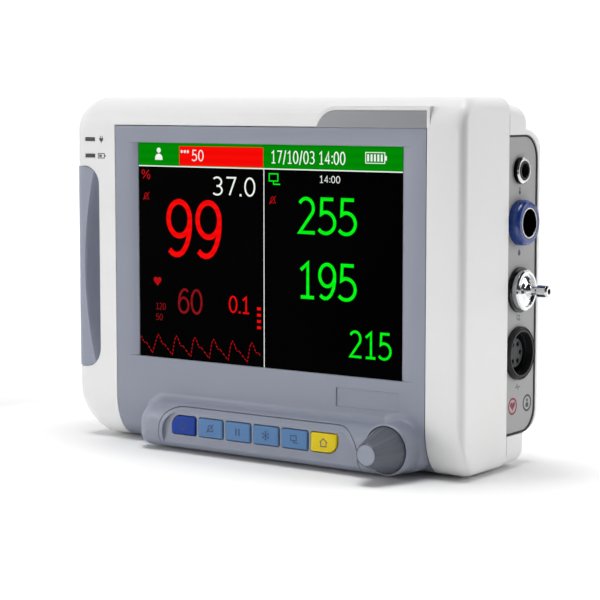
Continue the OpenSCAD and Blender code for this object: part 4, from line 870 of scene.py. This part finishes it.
@dataclass
class Dressing:
    """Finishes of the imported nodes, and the smooth shading of their rolled faces.

    Attributes:
        crease: Edges that turn further than this stay sharp, in degrees.
        weld: Corners closer than this count as one.
    """

    crease: float = 34.0
    weld: float = 0.0005

    def finishes(self) -> dict[str, Finish]:
        """Chooses the finishes.

        Returns:
            The finish of each node.
        """
        groups: dict[Finish, tuple[str, ...]] = {
            SHELL: ("front_housing", "rear_housing"),
            BEZEL: ("front_bezel", "key_panel"),
            GRIP: ("grip",),
            KNOB: ("knob",),
            KNOB_DISC: ("knob_cap",),
            PANEL: ("connector_panel",),
            LENS: ("alarm_lens",),
            PIPE: ("indicator_lights",),
            GLASS: ("display_window",),
            KEY_BLUE: ("power_key",),
            KEY_LIGHT: ("silence_key", "pause_key", "freeze_key", "nibp_key"),
            KEY_YELLOW: ("main_key",),
            POLYAMIDE: ("temp_jack", "ecg_socket", "mains_inlet", "spo2_insert", "lcd_panel", "speaker"),
            POLYAMIDE_GREY: ("ecg_insert", "key_switches", "encoder_body", *(k + "_plunger" for k in KEYS)),
            COLLAR: ("spo2_socket",),
            RUBBER: ("window_gasket", "panel_gasket", "rubber_feet"),
            SEAL: ("nibp_seal",),
            HOSE: ("air_hoses",),
            CHROME: ("nibp_port",),
            NUT: ("temp_nut",),
            LINER: ("spo2_liner",),
            STEEL: ("board_screws", "case_screws", "encoder_nut", "encoder_shaft"),
            BRASS: ("ground_stud", "mount_inserts", "encoder_plunger"),
            SHEET: ("lcd_bracket", "battery_clamp"),
            BOARD: ("main_board", "alarm_board", "indicator_board", "key_board", "parameter_board",
                    "power_supply"),
            ENAMEL: ("nibp_pump", "nibp_valve"),
            SLEEVE: ("battery_pack",),
        }
        return {node: finish for finish, nodes in groups.items() for node in nodes}

    def smoother(self) -> Tree:
        """Builds the modifier tree that shades rolled faces smooth and keeps real edges sharp.

        Returns:
            The tree.
        """
        tree, shape = shape_tree("moulded_shading")
        joined = add_node(tree, "GeometryNodeMergeByDistance", {
            "Geometry": shape, "Distance": self.weld * MM})
        plain = add_node(tree, "GeometryNodeRemoveAttribute", {
            "Geometry": joined.outputs[0], "Name": "custom_normal"})
        smooth = add_node(tree, "GeometryNodeSetShadeSmooth", {
            "Geometry": plain.outputs[0], "Shade Smooth": True}, domain="FACE")
        angle = add_node(tree, "GeometryNodeInputMeshEdgeAngle")
        sharp = add_node(tree, "FunctionNodeCompare", {
            "A": angle.outputs["Unsigned Angle"], "B": math.radians(self.crease)}, operation="GREATER_THAN")
        kept = add_node(tree, "GeometryNodeSetShadeSmooth", {
            "Geometry": smooth.outputs[0], "Selection": sharp.outputs[0], "Shade Smooth": False},
            domain="EDGE")
        add_node(tree, "NodeGroupOutput", {0: kept.outputs[0]})
        return tree

    def dress(self) -> None:
        """Gives every node its finish and its shading."""
        tree = self.smoother()
        finishes = self.finishes()
        for name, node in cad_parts.items():
            node.material_slots[0].material = finishes[name].material()
            node.modifiers.new("moulded_shading", "NODES").node_group = tree
            weighted = node.modifiers.new("even_faces", "WEIGHTED_NORMAL")
            weighted.keep_sharp = True
            LOG.info("dressed %s in %s", name, finishes[name].name)


@dataclass
class Screen:
    """The lit picture: plain figures, bars and a pulse wave, measured from the screen's middle.

    Attributes:
        half_w: Half of the width that shows.
        half_h: Half of the height that shows.
        bar_low: Lower edge of the top bar.
        rule: Width of the white lines.
        layer_height: Height of one layer of the picture.
        wave_pitch: Length of one pulse.
        wave_first: Place of the first peak.
        wave_end: Place where the wave stops.
        wave_line: Width of the wave's line.
        dash: Length of one dash of the wave with its gap.
        dash_share: How much of that is dash.
        mark_line: Width of the lines of the small red marks.
        middle: The middle of the cover.
        face: The front of the cover.
    """

    half_w: float = 73.4
    half_h: float = 50.15
    bar_low: float = 39.6
    rule: float = 0.5
    layer_height: float = 0.1
    wave_pitch: float = 11.0
    wave_first: float = -62.35
    wave_end: float = -1.0
    wave_line: float = 0.34
    dash: float = 1.8
    dash_share: float = 0.62
    mark_line: float = 0.24
    middle: Point = field(init=False)
    face: float = field(init=False)

    def __post_init__(self) -> None:
        """Finds the middle and the face of the cover."""
        x, y, z = sides("display_window")
        self.middle = (sum(x) / 2, sum(z) / 2)
        self.face = y[0]

    def layer(self, step: int = 0) -> Relief:
        """Gives a fresh layer of the picture, each step nearer the viewer than the one before."""
        return Relief(Face.FRONT, self.face, self.middle, self.layer_height, self.layer_height * step)

    def bars(self) -> None:
        """Makes the top bar, the alarm block, the white lines and the battery mark."""
        w, h, low = self.half_w, self.half_h, self.bar_low
        self.layer().plate(box_loop(-w, w, low, h)).piece("screen_bar", LIT_GREEN_BAR)
        block = self.layer(1).plate(box_loop(-48.9, -0.7, low + 0.3, 48.8))
        block.piece("screen_alarm_block", LIT_RED_BAR)
        lines = self.layer(1).plate(box_loop(-w, w, low - self.rule, low))
        lines.plate(box_loop(-0.45, -0.1, -h, low - self.rule))
        lines.piece("screen_lines", LIT_WHITE)
        battery = self.layer(1).band(box_loop(54.4, 64.2, 42.9, 47.5), 0.35, closed=True)
        battery.plate(box_loop(64.4, 65.2, 44.2, 46.2))
        for k in range(5):
            battery.plate(box_loop(55.2 + 1.75 * k, 56.1 + 1.75 * k, 43.7, 46.7))
        battery.piece("screen_battery", LIT_WHITE)

    def figures(self) -> None:
        """Makes the measured values."""
        values = (
            ("clock", "17/10/03 14:00", (3.6, 43.8), (41.8, 47.6), LIT_WHITE, 1),
            ("alarm_limit", "50", (-41.4, -34.6), (42.0, 47.2), LIT_WHITE, 2),
            ("temperature", "37.0", (-29.6, -5.2), (26.6, 35.3), LIT_WHITE, 0),
            ("last_reading", "14:00", (30.0, 41.0), (33.8, 37.0), LIT_WHITE, 0),
            ("oxygen", "99", (-57.2, -24.2), (-2.8, 24.4), LIT_RED, 0),
            ("oxygen_unit", "%", (-71.8, -66.6), (33.2, 37.6), LIT_MID, 0),
            ("pulse", "60", (-50.4, -35.8), (-28.8, -16.9), LIT_DIM, 0),
            ("pulse_high", "120", (-63.7, -57.7), (-27.7, -24.6), LIT_DIM, 0),
            ("pulse_low", "50", (-63.7, -59.6), (-32.8, -29.7), LIT_DIM, 0),
            ("index", "0.1", (-20.4, -8.3), (-26.6, -18.7), LIT_RED, 0),
            ("pressure_high", "255", (18.4, 50.0), (11.0, 27.5), LIT_GREEN, 0),
            ("pressure_low", "195", (18.4, 50.0), (-17.7, -1.1), LIT_GREEN, 0),
            ("pressure_mean", "215", (46.0, 68.2), (-42.0, -29.9), LIT_GREEN, 0),
        )
        for name, signs, across, up, finish, step in values:
            style = Figures(gap=0.42) if finish == LIT_WHITE else Figures()
            style.write(signs, across, up, self.layer(step)).piece("screen_" + name, finish)

    def wave(self) -> None:
        """Makes the level dots and the dashed pulse wave."""
        dots = self.layer()
        for k in range(4):
            low = -33.0 + 2.85 * k
            dots.plate(box_loop(-4.3, -2.2, low, low + 1.3))
        dots.piece("screen_level", LIT_RED)
        pulse = ((-1.1, -41.5), (-0.2, -39.4), (0.9, -40.6), (2.3, -43.9), (3.7, -43.8), (5.4, -45.6),
                 (8.4, -48.6))
        path = [(-72.9, -41.0), (-71.2, -43.9), (-69.6, -43.8), (-66.0, -48.6)]
        for k in range(6):
            peak = self.wave_first + self.wave_pitch * k
            path += [(peak + x, z) for x, z in pulse if peak + x < self.wave_end]
        wave = self.layer()
        for start, end in zip(map(Vector, path), map(Vector, path[1:])):
            count = max(1, round((end - start).length / self.dash))
            for k in range(count):
                ends = (start.lerp(end, share / count) for share in (k, k + self.dash_share))
                wave.band([tuple(e) for e in ends], self.wave_line)
        wave.piece("screen_wave", LIT_MID)

    def marks(self) -> None:
        """Makes the small plain marks."""
        small = self.layer().plate(heart(-62.6, -14.6, 4.2))
        bell = ((-1.56, -1.17), (1.56, -1.17), (1.04, -0.39), (0.91, 0.91), (0.0, 1.69), (-0.91, 0.91),
                (-1.04, -0.39))
        for x, z in ((-69.1, 25.1), (4.5, 25.4)):
            small.band([(x + u, z + v) for u, v in bell], self.mark_line, closed=True)
            small.band([(x - 1.8, z - 1.8), (x + 1.8, z + 2.0)], self.mark_line)
        small.piece("screen_red_marks", LIT_MID)
        stars = self.layer(2)
        for x in (-47.4, -45.6, -43.8):
            for stroke in star(x, 46.3, 0.75):
                stars.band(stroke, 0.3)
        stars.piece("screen_stars", LIT_WHITE)
        person = self.layer(1).plate(circle(-61.2, 46.7, 1.2))
        person.plate([(-63.4, 42.2), (-59.0, 42.2), *arc(-61.2, 42.9, 2.2, 0, 180, 12)])
        person.piece("screen_person", LIT_WHITE)
        cuff = self.layer().band(box_loop(2.6, 7.4, 34.0, 37.2), 0.5, closed=True)
        cuff.band([(5.0, 34.0), (5.0, 32.6), (8.6, 32.6)], 0.5)
        cuff.piece("screen_cuff", LIT_GREEN)

    def build(self) -> None:
        """Builds the whole picture."""
        self.bars()
        self.figures()
        self.wave()
        self.marks()


@dataclass
class KeyMarks:
    """Plain pictures printed on the keys, beside the indicator lights and on the socket panel.

    Attributes:
        line: Width of a printed line.
        fine: Width of a line on the socket panel.
        badge: Radius of the round marks on it.
        badge_line: Width of their rings.
    """

    line: float = 0.42
    fine: float = 0.35
    badge: float = 3.4
    badge_line: float = 0.9

    def on_key(self, key: str) -> Relief:
        """Gives an empty print, measured from the middle of a key's face."""
        x, y, z = sides(key + "_key")
        return Relief(Face.FRONT, y[0], (sum(x) / 2, sum(z) / 2))

    def keys(self) -> None:
        """Prints a power sign, a struck bell, a pause sign, a flake, a cuff and a house on the keys."""
        w = self.line
        power, silence, pause, freeze, nibp, main_key = prints = [self.on_key(key) for key in KEYS]
        power.band(arc(0, 0, 1.7, 125, 415), w).band([(0, 0.3), (0, 2.2)], w)
        bell = [(-1.7, -1.2), (1.7, -1.2), (1.2, -0.5), (1.1, 0.7), (0.5, 1.5), (-0.5, 1.5), (-1.1, 0.7),
                (-1.2, -0.5)]
        silence.band(bell, w, closed=True).band([(-2.0, -1.9), (2.0, 2.1)], w)
        for side in (-0.9, 0.9):
            pause.plate(box_loop(side - 0.35, side + 0.35, -1.6, 1.6))
        for stroke in star(0, 0, 2.0):
            freeze.band(stroke, w * 0.8)
        for turn in range(30, 390, 60):
            fork = polar(0, 0, 1.3, turn)
            for spread in (35, -35):
                freeze.band([fork, polar(*fork, 0.8, turn + spread)], w * 0.7)
        nibp.band(box_loop(-1.9, 1.1, -0.6, 1.6), w, closed=True)
        nibp.band([(-0.4, -0.6), (-0.4, -1.6), (2.0, -1.6)], w)
        main_key.band([(-2.0, 0.2), (0, 1.9), (2.0, 0.2)], w)
        main_key.band([(-1.4, 0.3), (-1.4, -1.6), (1.4, -1.6), (1.4, 0.3)], w)
        for key, mark in zip(KEYS, prints):
            mark.piece(key + "_mark", INK_NAVY, key + "_button")

    def lights(self) -> None:
        """Prints a plug and a battery beside the two indicator lights."""
        x, y, z = sides("indicator_lights")
        across = x[1] + 4.0
        half_light = 0.85
        mark = Relief(Face.FRONT, y[0], (across, z[1] - half_light))
        mark.plate([(-1.2, 0.6), (1.2, 0.6), *arc(0, 0.1, 1.2, 0, -180, 10)])
        for side in (-0.6, 0.6):
            mark.band([(side, 0.6), (side, 1.7)], self.line)
        mark.band([(0, -1.0), (0, -1.8)], self.line)
        mark.middle = (across, z[0] + half_light)
        mark.band(box_loop(-2.0, 1.8, -1.05, 1.05), self.line, closed=True)
        mark.plate(box_loop(2.0, 2.6, -0.5, 0.5)).plate(box_loop(-1.4, 0.3, -0.55, 0.55))
        mark.piece("light_marks", INK_DARK_AND_RECESS_SHADE)

    def panel(self) -> None:
        """Prints a small mark under each socket, and two round marks at the foot of the panel."""
        x, _, z = sides("connector_panel")
        y = sum(sides("nibp_port")[1]) / 2
        foot = z[0] + 11.8
        gaps = {"temp_nut": 2.9, "spo2_socket": 3.0, "nibp_seal": 2.3, "ecg_socket": 3.3}
        temp, spo2, nibp, ecg = ((y, sides(node)[2][0] - gap) for node, gap in gaps.items())
        mark = Relief(Face.RIGHT, x[1], temp)
        mark.band([(0, -0.4), (0, 1.5)], 0.7).plate(circle(0, -0.8, 0.85, 14))
        mark.middle = spo2
        mark.plate([(0, 1.6), *arc(0, -0.4, 1.1, 150, 390, 14)])
        mark.middle = nibp
        mark.band(box_loop(-1.4, 0.8, -0.5, 0.9), self.fine, closed=True)
        mark.band([(-0.3, -0.5), (-0.3, -1.1), (1.6, -1.1)], self.fine)
        mark.middle = ecg
        mark.band([(-2.2, 0), (-1.0, 0), (-0.5, 1.3), (0.2, -1.2), (0.7, 0), (2.2, 0)], self.fine)
        mark.middle = (y + 8.6, foot)
        mark.ring(0, 0, self.badge, self.badge_line).plate(circle(0, 1.25, 0.75, 12))
        mark.plate([(-1.25, -1.8), (1.25, -1.8), *arc(0, -0.9, 1.25, 0, 180, 10)])
        mark.piece("panel_marks", INK_DARK_AND_RECESS_SHADE)
        red = Relief(Face.RIGHT, x[1], (y - 4.4, foot))
        red.ring(0, 0, self.badge, self.badge_line).plate(heart(0, -0.1, 4.0))
        red.piece("panel_heart", INK_RED)

    def build(self) -> None:
        """Prints all marks."""
        self.keys()
        self.lights()
        self.panel()


@dataclass
class BackFittings:
    """Small metal parts that show on the back: inlet blades, stud thread, and painted shade for the screw
    recesses.

    Attributes:
        blade: Half width and half height of an inlet blade.
        blade_ends: How far inside the inlet a blade's tip and foot are.
        chamfer: Length and depth of the chamfer at its tip.
        skin: How far a metal skin stands off the blade under it.
        stud_ends: How far from the end of the stud the thread stops and starts.
        stud_radius: Radius at the bottom of the thread.
        pitch: Pitch of the stud's thread.
        thread: Depth of the thread.
        screw_radius: Radius of a case screw's head.
        recess: Half length and width of a line of its cross.
    """

    blade: Point = (2.0, 1.0)
    blade_ends: Point = (3.0, 16.9)
    chamfer: Point = (0.8, 0.35)
    skin: float = 0.06
    stud_ends: Point = (0.3, 5.6)
    stud_radius: float = 2.98
    pitch: float = 1.0
    thread: float = 0.25
    screw_radius: float = 2.9
    recess: Point = (1.6, 0.7)

    def blades(self) -> None:
        """Makes the bright skins of the three inlet blades, with chamfered tips."""
        x, y, z = sides("mains_inlet")
        tip, foot = (y[1] - inside for inside in self.blade_ends)
        tip += self.skin
        points: list[Spot] = []
        faces: Faces = []
        for bx, bz in ((-2, -7), (2, 0), (-2, 7)):
            faces += ring_faces(len(points), 4, 3)
            for along, trim in ((foot, 0.0), (tip - self.chamfer[0], 0.0), (tip, self.chamfer[1])):
                w, h = (half + self.skin - trim for half in self.blade)
                corners = box_loop(bx - w, bx + w, bz - h, bz + h)
                points += [metres((sum(x) / 2 + u, along, sum(z) / 2 + v)) for u, v in corners]
        carry(new_object("inlet_blades", points, faces, STEEL), STEEL)

    def stud(self) -> None:
        """Makes the thread of the earth stud as a row of rounded ridges, with four rings to a ridge."""
        x, y, z = sides("ground_stud")
        end, first = (y[1] - inside for inside in self.stud_ends)
        count, turns = int((end - first) / self.pitch * 4), 40
        points: list[Spot] = []
        for k in range(count + 1):
            along = (end - first) * k / count
            wave = 0.5 - 0.5 * math.cos(2 * math.pi * along / self.pitch)
            radius = self.stud_radius + self.thread * wave * (0 < k < count)
            ring = circle(sum(x) / 2, sum(z) / 2, radius, turns)
            points += [metres((u, first + along, v)) for u, v in ring]
        carry(new_object("stud_thread", points, ring_faces(0, turns, count + 1), BRASS), BRASS)

    def recesses(self) -> None:
        """Paints a dark cross on each case screw as painted shade, where its cross recess would be."""
        x, y, z = sides("case_screws")
        # Painted shade: dark crosses stand for the screws' cross recesses, which are not cut.
        mark = Relief(Face.BACK, y[1], height=0.05)
        r = self.screw_radius
        half, width = self.recess
        for across in (-x[0] - r, -x[1] + r):
            for up in (z[0] + r, z[1] - r):
                mark.middle = (across, up)
                mark.band([(-half, 0), (half, 0)], width).band([(0, -half), (0, half)], width)
        mark.piece("screw_recess_painted_shade", INK_DARK_AND_RECESS_SHADE)

    def build(self) -> None:
        """Builds all fittings."""
        self.blades()
        self.stud()
        self.recesses()


@dataclass
class Studio:
    """A round pale cove, soft lights and the camera.

    Attributes:
        core_m: Radius of the first ring of the floor.
        floor_m: Radius of the flat floor.
        wall_m: Radius of the wall.
        height_m: Height of the wall.
        sky: Strength of the light from all round.
        aim_m: The place that the soft boxes look at.
        eye: Place of the camera.
        turn: Turn of the camera round Z, in degrees.
        pitch: How far it looks down, in degrees.
        lens: Focal length on a 36 mm sensor.
    """

    core_m: float = 0.4
    floor_m: float = 1.6
    wall_m: float = 3.0
    height_m: float = 3.0
    sky: float = 0.01
    aim_m: Spot = (0.0, 0.0, 0.08)
    eye: Spot = (514.9, -711.5, 161.7)
    turn: float = 35.717
    pitch: float = 5.921
    lens: float = 115.92

    def cove(self) -> None:
        """Makes the floor that turns up into a wall all round."""
        bend, turns = self.wall_m - self.floor_m, 72
        profile = [(self.core_m, 0.0), (self.floor_m, 0.0), *arc(self.floor_m, bend, bend, -80, 0, 8),
                   (self.wall_m, self.height_m)]
        points = [(x, y, z) for radius, z in profile for x, y in circle(0, 0, radius, turns)]
        made = new_object("studio_cove", points, ring_faces(0, turns, len(profile), Ends.FLOOR), PAPER)
        for face in made.data.polygons:
            face.use_smooth = True

    def card(self, name: str, span: Point, inner_m: Point, outer_m: Point) -> Thing:
        """Bends a dark card round the object, which the camera doesn't see.

        Args:
            name: The card's name.
            span: First and last angle from the right, in degrees.
            inner_m: Radius and height of one edge.
            outer_m: Radius and height of the other edge.

        Returns:
            The new card.
        """
        steps = 24
        points = [(x * radius, y * radius, height) for x, y in arc(0, 0, 1, *span, steps)
                  for radius, height in (inner_m, outer_m)]
        faces = [[k, k + 2, k + 3, k + 1] for k in range(0, 2 * steps, 2)]
        made = new_object(name, points, faces, RUBBER)
        made.visible_camera = made.visible_shadow = False
        return made

    def cards(self) -> None:
        """Keeps light of the camera's side off the corners, and gives bright metal a dark mirror image."""
        self.card("camera_card", (-120, 18), (2.2, 0.0), (2.2, 2.4))
        self.card("floor_card", (-120, 18), (0.36, 0.004), (2.2, 0.004))
        self.card("back_card", (70, 220), (0.2, 0.004), (0.9, 0.004))
        self.card("metal_card", (18, 80), (2.2, 0.02), (2.2, 1.1)).visible_diffuse = False

    def light(self, name: str, spot_m: Spot, size_m: float, power: float) -> None:
        """Adds a soft square light that looks at the object.

        Args:
            name: The light's name.
            spot_m: Its place.
            size_m: Its side.
            power: Its power in watts.
        """
        lamp = bpy.data.lights.new(name, "AREA")
        lamp.shape = "SQUARE"
        lamp.size = size_m
        lamp.energy = power
        made = bpy.data.objects.new(name, lamp)
        made.location = spot_m
        made.rotation_mode = "QUATERNION"
        made.rotation_quaternion = (Vector(self.aim_m) - Vector(spot_m)).to_track_quat("-Z", "Y")
        bpy.context.scene.collection.objects.link(made)

    def lights(self) -> None:
        """Sets the sky and the soft boxes."""
        world = bpy.data.worlds.new("studio")
        world.use_nodes = True
        tree = world.node_tree
        tree.nodes.clear()
        sky = add_node(tree, "ShaderNodeBackground", {"Color": (1, 1, 1, 1), "Strength": self.sky})
        add_node(tree, "ShaderNodeOutputWorld", {"Surface": sky.outputs[0]})
        bpy.context.scene.world = world
        self.light("key_box", (-1.25, -1.2, 0.4), 0.6, 7.5)
        self.light("top_box", (0.0, -0.1, 1.9), 1.0, 28.5)
        self.light("side_box", (1.35, 1.15, 0.6), 0.8, 6.4)

    def camera(self) -> None:
        """Sets the camera at the photo's angle."""
        made = bpy.data.objects.new("camera", bpy.data.cameras.new("camera"))
        made.location = metres(self.eye)
        made.rotation_euler = (math.radians(90 - self.pitch), 0, math.radians(self.turn))
        made.data.lens = self.lens
        made.data.clip_start = 0.01
        made.data.clip_end = 50
        bpy.context.scene.collection.objects.link(made)
        bpy.context.scene.camera = made

    def build(self) -> None:
        """Builds the studio."""
        bpy.context.scene.view_settings.view_transform = "Standard"
        self.camera()
        self.cove()
        self.cards()
        self.lights()


def main() -> None:
    """Builds every sub-assembly in order."""
    logging.basicConfig(level=logging.INFO, format="%(message)s")
    Studio().build()
    Dressing().dress()
    Screen().build()
    KeyMarks().build()
    BackFittings().build()


if __name__ == "__main__":
    main()
